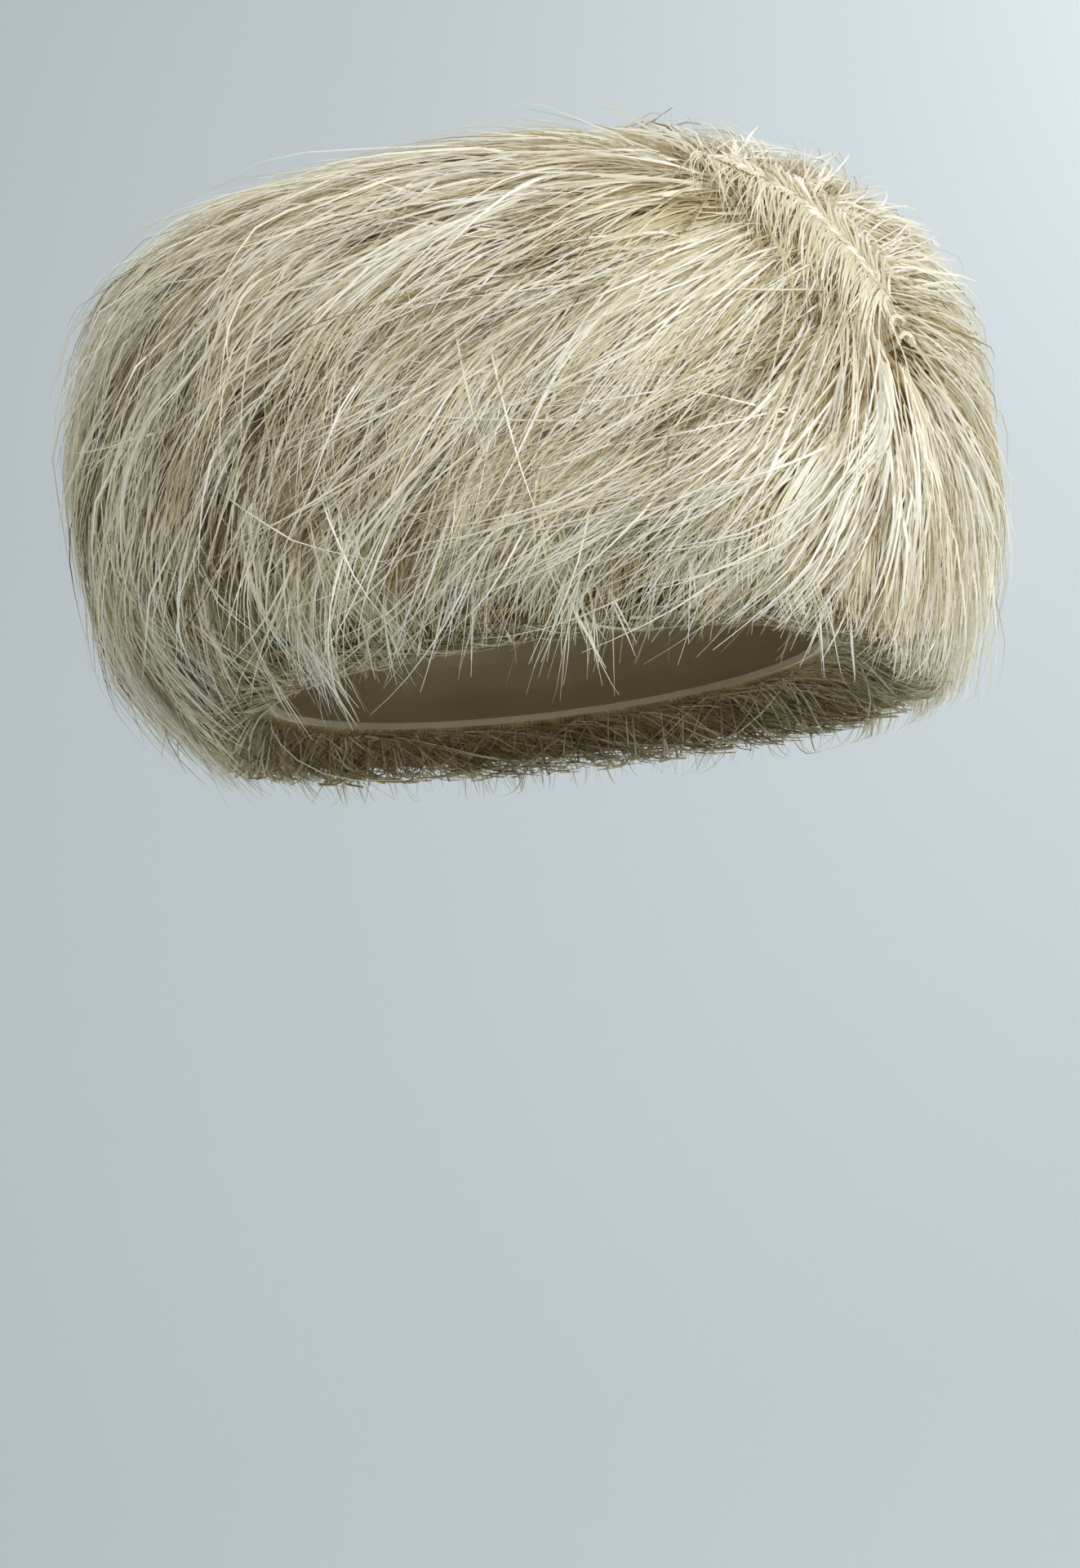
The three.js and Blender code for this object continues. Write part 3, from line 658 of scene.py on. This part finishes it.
def fans(rng, count, turn_from, turn_to, look):
    """Ribbons of a number of feathers, whose sizes are drawn from the look's ranges."""
    feathers = (count, 1, 1)
    strands = (count, FAN_STRANDS, 1)

    def draw(low, high, size=feathers):
        return rng.uniform(low, high, size)

    def spread(width, size=feathers):
        return rng.normal(0, width, size)

    rim, start = sow(rng, count, turn_from, turn_to, *look["start"])
    rim, start = rim[:, None, None], start[:, None, None]
    length = line_length(rim)
    run = draw(*look["length"])
    ragged = 0.05 * rng.random(feathers)
    end = np.minimum(start + run / length, look["end"] + ragged)
    run = (end - start) * length
    half = draw(*look["half_width"])
    lean = spread(look["lean"])
    bend = spread(look["bend"])
    roll = spread(0.2)
    dome = draw(0.3, 1.8)
    loose = np.where(rng.random(feathers) < FAN["loose_share"], 1.0, FAN["firm"])
    t = np.linspace(0, 1, FAN_STEPS + 1)[None, None, :]
    u = np.linspace(-1, 1, FAN_STRANDS)[None, :, None]
    u = u + spread(0.6 / FAN_STRANDS, strands)

    # each strand has its own end, and the feather's outer strands end earlier
    shorter = np.abs(spread(0.1, strands))
    reach = np.maximum(FAN["shortest"], 1 - FAN["side_end"] * np.abs(u) ** 2 - shorter)
    share = start + (end - start) * t * reach

    # the feather's own layer, from its root to its tip
    place = rng.random(feathers) ** FAN["outer_bias"]
    root_layer = mix(*look["root_layer"], place)
    full_layer = mix(*look["full_layer"], place)
    layer = mix(root_layer, full_layer, smooth(t / FAN["full_layer_at"])) * np.ones_like(share)
    layer = layer * top_layer(share)

    rims = np.broadcast_to(rim, share.shape)
    point, outward = flow_frame(rims, share)
    thick = feather_depth(rims, share)
    along = unit(np.gradient(point, axis=2))
    aside = unit(np.cross(outward, along))

    # the fan, splits between groups of strands, and single strands that stray
    opening = mix(FAN["root_opening"], 1.0, smooth(t / FAN["open_at"])) * mix(1.0, FAN["splay"], t)
    splits = np.zeros_like(share)
    for _ in range(FAN["splits"]):
        waves = draw(1.0, 4.5)
        offset = draw(0, FULL_TURN)
        size = draw(0.2, 1.0)
        splits += np.sin(waves * np.pi * u + offset) * size
    splits = splits * t**1.6 * FAN["split"] * loose
    stray = spread(1, strands) * FAN["stray"] * loose * t**1.8
    wander = rng.random(strands) < FAN["wander_share"]
    stray = np.where(wander, stray * FAN["wander"], stray)
    sway = (lean * t**1.5 + bend * np.sin(t * np.pi)) * run / FAN["sway_length"]
    side = u * half * opening + splits + stray + sway
    lift = roll * u * half * opening - dome * (u * opening) ** 2
    lift = lift + np.abs(spread(1, strands)) * FAN["lift"] * loose * t**2
    lift = lift + draw(0, look["tip_rise"]) * place * t**2
    lift = lift - side**2 / FAN["wrap"]
    path = point + aside * side[..., None] + outward * (lift - thick * (1 - layer))[..., None]

    # widths and tones, with painted shade: deeper feathers darker than outer ones, and strands darker at
    # the root
    width = FAN["strand_width"] * draw(0.7, 1.3, strands)
    half_width = width / 2 * taper(t, root=0.6, tip=0.3, tip_from=0.45)
    twist = spread(0.16, strands) * (1 + t)
    tone = mix(*look["tone"], place) + spread(0.09)
    golden = rng.random(feathers) < look["golden_share"]
    tone = np.where(golden, tone - FAN["golden"], tone)
    tone = tone + spread(0.028, strands) + tone_and_painted_light_of(point)
    tone = tone - painted_root_shade(t, depth=0.16, end=0.35) + FAN["tip_light"] * t
    return as_ribbons(path, outward, half_width, twist, tone)


# How far strand ends may stand out of the model's box, on its low and high sides
STAND_LOW = np.array([6.5, 6.5, 6.5])
STAND_HIGH = np.array([6.5, 6.5, 4.0])
box_low, box_high = (np.array(corner) / MM for corner in cad_box)


def keep_in(points):
    """Draw the ends that stand out too far back to the limits, softly."""
    below = np.maximum(0, box_low - points)
    above = np.maximum(0, points - box_high)
    points = points + below - STAND_LOW * np.tanh(below / STAND_LOW)
    return points - above + STAND_HIGH * np.tanh(above / STAND_HIGH)


# Strands that would lie over the knots are left out
KNOT_CLEAR = 6.8
KNOTS = ("quill_knot_1", "quill_knot_2", "quill_knot_3")


def centre_of(node):
    """The middle of a node's box in millimetres."""
    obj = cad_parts[node]
    corners = [obj.matrix_world @ Vector(corner) for corner in obj.bound_box]
    return np.mean([list(corner) for corner in corners], axis=0) / MM


knot_centres = [centre_of(node) for node in KNOTS]


def off_knots(path):
    """Which paths pass clear of the knots, at their points and half way between them."""
    halfway = (path[:, 1:] + path[:, :-1]) / 2
    points = np.concatenate([path, halfway], axis=1)
    clear = np.ones(len(path), bool)
    for centre in knot_centres:
        clear &= np.linalg.norm(points - centre, axis=-1).min(axis=1) > KNOT_CLEAR
    return clear


# The tones that strands are held to, away from both ends of the colour ramp
TONE_EDGE = 0.02


def as_ribbons(path, outward, half_width, twist, tone):
    """Ribbons along the paths that pass clear of the knots, with all values given for each step."""
    path = keep_in(path)
    steps = path.shape[-2]
    shape = path.shape[:-1]
    path = path.reshape(-1, steps, 3)
    kept = off_knots(path)
    return ribbons(
        path[kept],
        outward.reshape(-1, steps, 3)[kept],
        np.broadcast_to(half_width, shape).reshape(-1, steps)[kept],
        np.broadcast_to(twist, shape).reshape(-1, steps)[kept],
        np.clip(np.broadcast_to(tone, shape), TONE_EDGE, 1 - TONE_EDGE).reshape(-1, steps)[kept],
    )


# Loose strands: in small groups that cross the flow, and straighter than the form below them.
# The higher the rim bias, the fewer of them hang far past the rim.
SPIKE_STEPS = 8
GROUP = 8
MOST_FREE = 10.0
MOST_PAST_RIM = 13.0
RIM_BIAS = 4
SPIKE = {
    "first_share": 0.004, "last_share": 0.985, "ahead": 0.015,
    "own_cross": 0.35, "wild_share": 0.12, "wild_cross": 2.4, "own_bow": 0.5, "bow_length": 60,
    "least_past_rim": 0.1, "high_share": 0.2, "high_free": 2.2,
    "bright_rise": 1.3, "dull_width": 0.75, "bright_shade": 0.3, "dull_shade": 0.6,
}


def cut_short(path, size, allowed):
    """Paths that end where a size along them passes what is allowed, drawn anew over their steps."""
    steps = size.shape[1] - 1
    beyond = size > allowed
    row = np.argmax(beyond, axis=1)
    cut = beyond.any(axis=1)
    before = np.take_along_axis(size, np.maximum(row - 1, 0)[:, None], 1)[:, 0]
    after = np.take_along_axis(size, row[:, None], 1)[:, 0]
    part = (allowed[:, 0] - before) / np.maximum(after - before, 1e-6)
    last = np.where(cut, np.maximum(row - 1 + part, 0.5), steps)[:, None]
    place = np.linspace(0, 1, steps + 1)[None] * last
    low = np.minimum(place.astype(int), steps - 1)
    rest = (place - low)[..., None]
    first = np.take_along_axis(path, low[..., None], 1)
    second = np.take_along_axis(path, low[..., None] + 1, 1)
    return mix(first, second, rest)


def spikes(rng, count, turn_from, turn_to, look):
    """Ribbons of loose strands in groups, whose sizes are drawn from the look's ranges."""
    groups = count // GROUP
    count = groups * GROUP

    def each(low, high):
        return rng.uniform(low, high, (count, 1))

    def to_strands(of_groups):
        return np.repeat(of_groups, GROUP)[:, None]

    def spread(of_group, of_strand):
        shared = to_strands(rng.normal(0, of_group, groups))
        return shared + rng.normal(0, of_strand, count)[:, None]

    rim, share = sow(rng, groups, turn_from, turn_to, *look["spike_start"])
    rim = np.repeat(rim, GROUP) + rng.normal(0, 0.03, count)
    share = np.repeat(share, GROUP) + rng.normal(0, 0.016, count)
    share = np.clip(share, SPIKE["first_share"], SPIKE["last_share"])

    # the way of each strand, as a nearly straight line from its root
    root, outward = flow_frame(rim, share)
    ahead, _ = flow_frame(rim, share + SPIKE["ahead"])
    along = unit(ahead - root)
    aside = np.cross(outward, along)
    bright = to_strands(rng.random(groups) < look["bright_share"])
    wild = to_strands(rng.random(groups) < SPIKE["wild_share"])
    turn = spread(look["cross"], look["cross"] * SPIKE["own_cross"])
    turn = turn * np.where(wild, SPIKE["wild_cross"], 1.0)
    way = along * np.cos(turn) + aside * np.sin(turn)
    across = np.cross(outward, way)
    t = np.linspace(0, 1, SPIKE_STEPS + 1)[None]
    long = to_strands(rng.uniform(*look["spike_length"], groups)) * each(0.6, 1.15)
    bow = spread(look["bow"], look["bow"] * SPIKE["own_bow"]) * long / SPIKE["bow_length"]
    run = long * t
    line = root[:, None] + way[:, None] * run[..., None]
    line = line + across[:, None] * (bow * t**2)[..., None]

    # the line brought to the form: part of its height stays, and it ends where it hangs too far
    foot, normal, thick = nearest_frame(line)
    offset = line - foot
    height = (offset * normal).sum(-1)
    past = offset - normal * height[..., None]
    past_size = np.linalg.norm(past, axis=-1)
    most = look.get("past_rim", MOST_PAST_RIM)
    hanging = rng.random((count, 1)) ** look.get("rim_bias", RIM_BIAS)
    allowed = most * mix(SPIKE["least_past_rim"], 1.0, hanging)
    free = each(*look["free"])
    free = free * np.where(rng.random((count, 1)) < SPIKE["high_share"], SPIKE["high_free"], 1.0)
    rooted = -thick * (1 - each(*look["spike_root"]))
    over = each(*look["over"]) + np.where(bright, SPIKE["bright_rise"], 0.0)
    surfaced = smooth(t / each(0.25, 0.7))
    lift = mix(rooted, over, surfaced) + free * np.minimum(np.abs(height), MOST_FREE)
    path = foot + past + normal * lift[..., None]
    path = cut_short(path, past_size, allowed)

    # widths and tones: bright strands lie higher and dull ones lower and darker, partly their own tone
    # and partly painted shade; roots darker as painted shade
    width = look["spike_width"] * each(0.6, 1.4) * np.where(bright, 1.0, SPIKE["dull_width"])
    half_width = width / 2 * taper(t, root=0.7, tip=0.18, tip_from=0.35)
    twist = rng.normal(0, 0.6, (count, 1)) * (1 + t)
    bright_tone = each(0.86, 1.0)
    group_tone = to_strands(rng.uniform(*look["spike_tone"], groups))
    tone = np.where(bright, bright_tone, group_tone) + rng.normal(0, 0.06, (count, 1))
    tone = tone + np.where(bright, SPIKE["bright_shade"], SPIKE["dull_shade"]) * tone_and_painted_light_of(path)
    tone = tone - painted_root_shade(t, depth=0.2, end=0.3)
    return as_ribbons(path, normal, half_width, twist, tone)


# The looks of each row: lengths in millimetres, crossing angles in radians, places as shares of a line
LOOKS = {
    "hem": {
        "start": (0.58, 0.86), "length": (32, 58), "end": 0.97,
        "half_width": (4.0, 8.0), "lean": 9.0, "bend": 6.0, "tip_rise": 5.0,
        "root_layer": (0.1, 0.6), "full_layer": (0.3, 0.95), "tone": (0.14, 0.77), "golden_share": 0.18,
        "spike_start": (0.55, 0.93), "cross": 0.28, "spike_length": (26, 66), "bow": 6.0,
        "free": (0.1, 0.6), "spike_root": (0.3, 0.9), "over": (-3.0, 1.5), "spike_width": 0.52,
        "spike_tone": (0.2, 0.72), "bright_share": 0.54,
    },
    "side": {
        "start": (0.28, 0.66), "length": (45, 80), "end": 0.94,
        "half_width": (4.0, 8.0), "lean": 9.0, "bend": 6.0, "tip_rise": 8.0,
        "root_layer": (0.2, 0.6), "full_layer": (0.4, 0.98), "tone": (0.18, 0.84), "golden_share": 0.18,
        "spike_start": (0.2, 0.78), "cross": 0.2, "spike_length": (35, 95), "bow": 8.0,
        "free": (0.1, 0.55), "spike_root": (0.4, 0.95), "over": (-2.0, 2.2), "spike_width": 0.55,
        "spike_tone": (0.24, 0.74), "bright_share": 0.52,
    },
    "crown": {
        "start": (0.0, 0.38), "length": (50, 90), "end": 0.9,
        "half_width": (3.5, 7.5), "lean": 7.0, "bend": 5.0, "tip_rise": 10.0,
        "root_layer": (0.4, 0.85), "full_layer": (0.55, 1.0), "tone": (0.24, 0.9), "golden_share": 0.16,
        "spike_start": (0.0, 0.45), "cross": 0.13, "spike_length": (40, 105), "bow": 8.0,
        "free": (0.1, 0.5), "spike_root": (0.5, 1.0), "over": (-1.5, 2.4), "spike_width": 0.55,
        "spike_tone": (0.24, 0.74), "bright_share": 0.52,
    },
}

# Each pad: its node, kind, the turns in degrees that it covers, its feathers and loose strands
PADS = [
    {"node": "hem_feathers", "kind": "hem", "from": 0, "to": 360, "fans": 180, "spikes": 3200},
    {"node": "side_feathers_right", "kind": "side", "from": -45, "to": 67.5, "fans": 85, "spikes": 2300},
    {"node": "side_feathers_back", "kind": "side", "from": 67.5, "to": 135, "fans": 115, "spikes": 2600},
    {"node": "side_feathers_left", "kind": "side", "from": 135, "to": 202.5, "fans": 95, "spikes": 2300},
    {"node": "side_feathers_front", "kind": "side", "from": 202.5, "to": 315, "fans": 95, "spikes": 2600},
    {"node": "crown_feathers_right", "kind": "crown", "from": -90, "to": 60, "fans": 90, "spikes": 2600},
    {"node": "crown_feathers_left", "kind": "crown", "from": 60, "to": 270, "fans": 230, "spikes": 5000},
]

# Long pale strands that sweep over the crown and the sides
SWEEPS_PER_DEGREE = 1.1
SWEEPS = {
    "spike_start": (0.05, 0.5), "cross": 0.1, "spike_length": (80, 140), "bow": 9.0,
    "free": (0.05, 0.5), "spike_root": (0.6, 1.0), "over": (0.0, 2.0), "spike_width": 0.72,
    "spike_tone": (0.5, 0.85), "bright_share": 0.8,
}

# The fringe: strands that hang past the hem
FRINGE_COUNT = 1200
FRINGE = {
    "spike_start": (0.78, 0.97), "cross": 0.24, "spike_length": (18, 54), "bow": 5.0,
    "free": (0.1, 0.6), "spike_root": (0.4, 0.95), "over": (-2.5, 1.2), "spike_width": 0.54,
    "spike_tone": (0.45, 0.85), "bright_share": 0.65, "rim_bias": 1.1, "past_rim": 24.0,
}

# Under the hem: strands that run in from the hanging ends to the edge of the head opening
UNDER_COUNT = 2400
UNDER_STEPS = 6


def opening_radius(angle):
    return oval_radius(angle, HEAD_BREADTH / 2, HEAD_LENGTH / 2, 2.0)


def under_hem(rng):
    """Ribbons of the strands under the hem."""

    def each(low, high):
        return rng.uniform(low, high, (UNDER_COUNT, 1))

    t = np.linspace(0, 1, UNDER_STEPS + 1)[None]
    start = each(0, FULL_TURN)
    drift = rng.normal(0, 0.28, (UNDER_COUNT, 1)) + 0.12
    angle = start + drift * t
    clear = each(1.5, 7)
    set_back = each(-2, 6)
    above_tips = each(0, 5)
    below_edge = each(0.6, 2.6)
    sag = each(0, 3)
    outer, low = profile_at(np.ones_like(angle), angle)
    radius = mix(outer - set_back - 3 * lift_share(angle), opening_radius(angle) + clear, t)
    height = mix(low + above_tips, -below_edge, smooth(t * 1.15)) - sag * np.sin(t * np.pi)
    path = around(radius, angle, height)
    down = np.broadcast_to(np.array([0.0, 0.0, -1.0]), path.shape)
    half_width = each(0.25, 0.45) * mix(1.0, 0.4, t)
    # darker toward the head opening, as painted shade under the hem
    tone = each(0.2, 0.64) - 0.1 * t
    twist = rng.normal(0, 0.5, (UNDER_COUNT, 1)) * (1 + t)
    return as_ribbons(path, down, half_width, twist, tone)


def under_sheet():
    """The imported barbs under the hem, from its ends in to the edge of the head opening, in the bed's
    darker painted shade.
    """
    columns, rows = 288, 8
    past_rim, above_tips, clear, inner_height = 1.0, 6.0, 2.4, 0.9
    ridge_height, fine_ridges, broad_ridges, slant = 1.4, 61, 37, 3
    turns = np.linspace(0, FULL_TURN, columns + 1)
    angle, inward = np.meshgrid(turns, np.linspace(0, 1, rows + 1), indexing="ij")
    outer, low = profile_at(np.ones_like(angle), angle)
    ridge = np.sin(angle * fine_ridges + slant * inward) * np.sin(angle * broad_ridges + 1.0)
    ridge = ridge_height * (ridge * np.sin(inward * math.pi))
    radius = mix(outer + past_rim, opening_radius(angle) + clear, inward)
    height = mix(low + above_tips, inner_height, smooth(inward)) + ridge
    points = around(radius, angle, height)
    return sheet_of("hem_feathers_underside", points, angle / FULL_TURN, inward * 0.2)


# The parting feather: a pale quill with a comb of barbs on each side, over a valley sheet that is dark as
# painted shade
def parting_frame(place, across):
    """Places by the parting, from its upper end at -1 to the knots at 1, and steps out."""
    w = pole + (parting_half * place + across / form_length * 1j) * parting_way
    return form_frame(np.minimum(1, np.abs(w)), np.angle(w))


# The barbs' rows: places from -1 to 1 along the parting, lengths in millimetres
RIDGE_BARBS = {
    "count": 120, "from": -0.8, "to": 0.55, "root": -3.0, "hook": 0.0, "top": 4.0, "end": (0.5, 3.0),
    "width": 0.9, "tone": (0.7, 1.0), "wander": 1.6,
}
BARBS = {
    "comb left": {
        "count": 56, "side": 1, "from": -0.35, "to": 0.68, "root": 0.5, "across": (13, 27),
        "hook": 0.22, "ahead": (0.1, 0.3), "top": 4.6, "end": (-2.5, 1.0), "width": 0.72,
        "tone": (0.68, 0.95), "wander": 2.0,
    },
    "comb right": {
        "count": 150, "side": -1, "from": -0.5, "to": 0.66, "root": 0.2, "across": (10, 30),
        "hook": 0.05, "ahead": (0.15, 0.55), "top": 4.0, "end": (-2.5, 1.0), "width": 0.6,
        "tone": (0.6, 0.92), "wander": 3.0,
    },
    "fine left": {
        "count": 90, "side": 1, "from": -0.7, "to": 0.7, "root": 0.2, "across": (8, 32),
        "hook": 0.1, "ahead": (-0.05, 0.4), "top": 2.4, "end": (-4.5, 1.0), "width": 0.4,
        "tone": (0.3, 0.75), "wander": 3.5,
    },
    "fine right": {
        "count": 300, "side": -1, "from": -0.9, "to": 0.7, "root": 0.2, "across": (8, 32),
        "hook": 0.05, "ahead": (-0.1, 0.6), "top": 3.2, "end": (-3.0, 1.8), "width": 0.4,
        "tone": (0.5, 0.92), "wander": 3.0,
    },
    "ridge left": {**RIDGE_BARBS, "side": 1, "across": (0, 6), "ahead": (0.25, 0.6)},
    "ridge right": {**RIDGE_BARBS, "side": -1, "across": (0, 8), "ahead": (0.2, 0.6)},
}
BARB_STEPS = 8
SHAFT_TONE = 0.86

# Strands that start near the parting: ones with the flow, and wisps in every direction
NEAR_COUNT = 1000
NEAR = {
    "spike_start": (0.0, 0.06), "cross": 0.22, "spike_length": (28, 80), "bow": 8.0,
    "free": (0.1, 0.5), "spike_root": (0.8, 1.0), "over": (-2.0, 1.6), "spike_width": 0.6,
    "spike_tone": (0.4, 0.85), "bright_share": 0.35,
}
WISP_COUNT = 144
WISPS = {
    "spike_start": (0.0, 0.07), "cross": 0.6, "spike_length": (22, 62), "bow": 10.0,
    "free": (0.15, 0.6), "spike_root": (0.8, 1.1), "over": (-0.5, 2.6), "spike_width": 0.42,
    "spike_tone": (0.5, 0.9), "bright_share": 0.25,
}


def barbs(rng, row):
    """Ribbons of one row of barbs along the quill: each arches up and falls to its end."""
    count = row["count"]
    arch, arch_top, falls_from = 0.35, 0.55, 0.35

    def each(low, high):
        return rng.uniform(low, high, (count, 1))

    def spread(width):
        return rng.normal(0, width, (count, 1))

    t = np.linspace(0, 1, BARB_STEPS + 1)[None]
    start = np.linspace(row["from"], row["to"], count)[:, None] + spread(0.012)
    hook = row["hook"] * each(0.5, 1.3) * np.sin(t * math.pi)
    place = start - hook + each(*row["ahead"]) * t**2
    middle = np.sin(np.clip((start + 1) / 2, 0, 1) * math.pi)
    reach = each(*row["across"]) * mix(0.75, 1.0, middle)
    across = row["side"] * (row["root"] + (reach - row["root"]) * t)
    across = across + spread(row["wander"]) * t**2
    point, outward = parting_frame(place, across)
    rise = row["top"] * (1 - (2 * t - arch_top) ** 2 * arch)
    height = mix(rise, each(*row["end"]), smooth((t - falls_from) / (1 - falls_from)))
    path = point + outward * height[..., None]
    half_width = row["width"] / 2 * each(0.8, 1.2) * taper(t, root=1.0, tip=0.2, tip_from=0.3)
    # darker at the root, as painted shade
    tone = each(*row["tone"]) - painted_root_shade(t, depth=0.1, end=0.2)
    return as_ribbons(path, outward, half_width, spread(0.35) * (1 + t), tone)


def shaft():
    """The quill itself: a round shaft that narrows to the upper end."""
    sides, rows = 10, 31
    upper_end, lower_end = -0.7, 0.66
    thin, thick, rise = 0.4, 1.3, 0.9
    place = np.linspace(upper_end, lower_end, rows)
    centre, outward = parting_frame(place, np.zeros_like(place))
    along = unit(np.gradient(centre, axis=0))
    aside = np.cross(outward, along)
    radius = mix(thin, thick, np.linspace(0, 1, rows))[:, None, None]
    turn = np.arange(sides) / sides * FULL_TURN
    ring = aside[:, None] * np.cos(turn)[None, :, None] + outward[:, None] * np.sin(turn)[None, :, None]
    points = (centre + outward * rise)[:, None] + ring * radius
    index = np.arange(rows * sides).reshape(rows, sides)
    after = np.roll(index, -1, axis=1)
    quads = np.stack([index[:-1], after[:-1], after[1:], index[1:]], -1).reshape(-1, 4)
    down = np.repeat(np.linspace(0.05, 0.95, rows), sides)
    return points.reshape(-1, 3), quads, np.full(rows * sides, SHAFT_TONE), down


def valley():
    """The dark sheet in the parting, under its barbs, dark as painted shade: a ridged bowl."""
    rows, columns = 40, 33
    upper_end, lower_end, half_width = -1.15, 1.0, 24
    depth, bowl, ridge_height, ridge_wave, slant = 5.0, 1.2, 1.3, 40, 0.25
    places = np.linspace(upper_end, lower_end, rows)
    place, across = np.meshgrid(places, np.linspace(-half_width, half_width, columns), indexing="ij")
    point, outward = parting_frame(place, across)
    ridge = ridge_height * np.sin(place * ridge_wave + across * slant)
    ridge = ridge - bowl * np.cos(across / half_width * math.pi)
    points = point + outward * (ridge - depth)[..., None]
    return sheet_of("parting_feather_bed", points, place * 0.3, across / 100)


def put(piece, node):
    """Ride a piece on the hat and let it stand in for a node."""
    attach(piece, "root")
    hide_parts(node)


# Where the random draws start from, for the pads' strands, their beds and the parting
PAD_SEED = 100
BED_SEED = 300
PARTING_SEED = 77

for number, pad in enumerate(PADS):
    rng = np.random.default_rng(PAD_SEED + number)
    node = pad["node"]
    hem = pad["kind"] == "hem"
    turns = math.radians(pad["from"]), math.radians(pad["to"])
    look = LOOKS[pad["kind"]]
    sheet = bed(node + "_bed", pad["kind"], *turns, BED_SEED + number)
    sets = [fans(rng, pad["fans"], *turns, look), spikes(rng, pad["spikes"], *turns, look)]
    if hem:
        sets.append(spikes(rng, FRINGE_COUNT, *turns, FRINGE))
        sets.append(under_hem(rng))
        put(under_sheet(), node)
    else:
        sweeps = round((pad["to"] - pad["from"]) * SWEEPS_PER_DEGREE)
        sets.append(spikes(rng, sweeps, *turns, SWEEPS))
    strands = joined_ribbons(node + "_strands", sets)
    strands.data.materials.append(strands_look)
    for piece in (sheet, strands):
        put(piece, node)

rng = np.random.default_rng(PARTING_SEED)
sets = [shaft()] + [barbs(rng, row) for row in BARBS.values()]
sets.append(spikes(rng, NEAR_COUNT, 0, FULL_TURN, NEAR))
sets.append(spikes(rng, WISP_COUNT, 0, FULL_TURN, WISPS))
strands = joined_ribbons("parting_feather_strands", sets)
strands.data.materials.append(strands_look)
for piece in (valley(), strands):
    put(piece, "parting_feather")


def paint(node, look):
    """Give a node that is shown as it is its look."""
    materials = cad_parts[node].data.materials
    materials.clear()
    materials.append(look)


paint("crown_base", felt_look)
for knot in KNOTS:
    paint(knot, quill_look)

# Stage: one sheet in metres that is the floor and curves up into the wall
FLOOR_HEIGHT = -1.0
STAGE_HALF = 4.0
WALL_Y = 2.0
WALL_TOP = 2.4
CORNER = 0.6
CORNER_STEPS = 12


def stage():
    section = [(-STAGE_HALF, FLOOR_HEIGHT)]
    for turn in np.linspace(0, math.pi / 2, CORNER_STEPS + 1):
        y = WALL_Y - CORNER + CORNER * math.sin(turn)
        section.append((y, FLOOR_HEIGHT + CORNER * (1 - math.cos(turn))))
    section.append((WALL_Y, WALL_TOP))
    points = [(x, y, z) for y, z in section for x in (-STAGE_HALF, STAGE_HALF)]
    faces = [(2 * i, 2 * i + 1, 2 * i + 3, 2 * i + 2) for i in range(len(section) - 1)]
    mesh = bpy.data.meshes.new("stage")
    mesh.from_pydata(points, [], faces)
    for polygon in mesh.polygons:
        polygon.use_smooth = True
    obj = bpy.data.objects.new("stage", mesh)
    bpy.context.collection.objects.link(obj)
    material, tree, surface = new_material("stage_paint")
    shader = tree.nodes.new("ShaderNodeBsdfPrincipled")
    shader.inputs["Base Color"].default_value = linear("#dde4e6")
    shader.inputs["Roughness"].default_value = 0.9
    tree.links.new(shader.outputs[0], surface)
    mesh.materials.append(material)


stage()

# Camera, placed from the photographed view: the hat there is pitched and rolled a little
CAMERA_DISTANCE = 0.9
RIM_CENTRE = Vector((0.0025, 0.0, 0.0305))
PITCH = math.radians(-6)
ROLL = math.radians(-7)
hat_turn = Matrix.Rotation(ROLL, 3, "Y") @ Matrix.Rotation(PITCH, 3, "X")
camera_data = bpy.data.cameras.new("camera")
camera_data.lens = 72
camera_data.sensor_width = 36
camera_data.clip_start = 0.01
camera = bpy.data.objects.new("camera", camera_data)
bpy.context.collection.objects.link(camera)
looking = Euler((math.pi / 2, 0, 0)).to_matrix()
camera.matrix_world = Matrix.Translation(
    hat_turn.transposed() @ (Vector((0, -CAMERA_DISTANCE, 0)) - RIM_CENTRE)
) @ (hat_turn.transposed() @ looking).to_4x4()
bpy.context.scene.camera = camera


# Light: a large soft key from the front right, softer fills, a small cool glint from the upper left
# and one light on the wall, in a pale room
def area_light(name, place, target, size, power, colour):
    """A light that shines from a place at a target, with its size in metres and its power in watts."""
    data = bpy.data.lights.new(name, "AREA")
    data.shape = "RECTANGLE"
    data.size, data.size_y = size
    data.energy = power
    data.color = colour
    obj = bpy.data.objects.new(name, data)
    bpy.context.collection.objects.link(obj)
    obj.location = place
    obj.rotation_euler = (Vector(target) - Vector(place)).to_track_quat("-Z", "Y").to_euler()


area_light("key", (1.25, -0.9, 0.42), (0, 0, 0.06), (1.0, 1.0), 17.5, (1.0, 0.985, 0.965))
area_light("front_fill", (0.55, -1.6, 0.35), (0, 0, 0.05), (1.4, 1.0), 9, (0.98, 0.99, 1.0))
area_light("left_glint", (-1.1, -0.8, 0.9), (-0.05, 0, 0.06), (0.35, 0.5), 7.5, (0.97, 0.99, 1.0))
area_light("back_fill", (0.3, 0.7, 1.1), (0, 0, 0.06), (1.2, 0.8), 5, (0.95, 0.98, 1.0))
area_light("wall_light", (1.2, WALL_Y - 0.9, 1.1), (0.7, WALL_Y, 0.25), (0.8, 0.8), 9, (0.96, 0.98, 1.0))
world = bpy.data.worlds.new("room")
world.use_nodes = True
background = world.node_tree.nodes["Background"]
background.inputs["Color"].default_value = (0.93, 0.97, 1.0, 1)
background.inputs["Strength"].default_value = 0.31
bpy.context.scene.world = world
bpy.context.scene.view_settings.view_transform = "Standard"
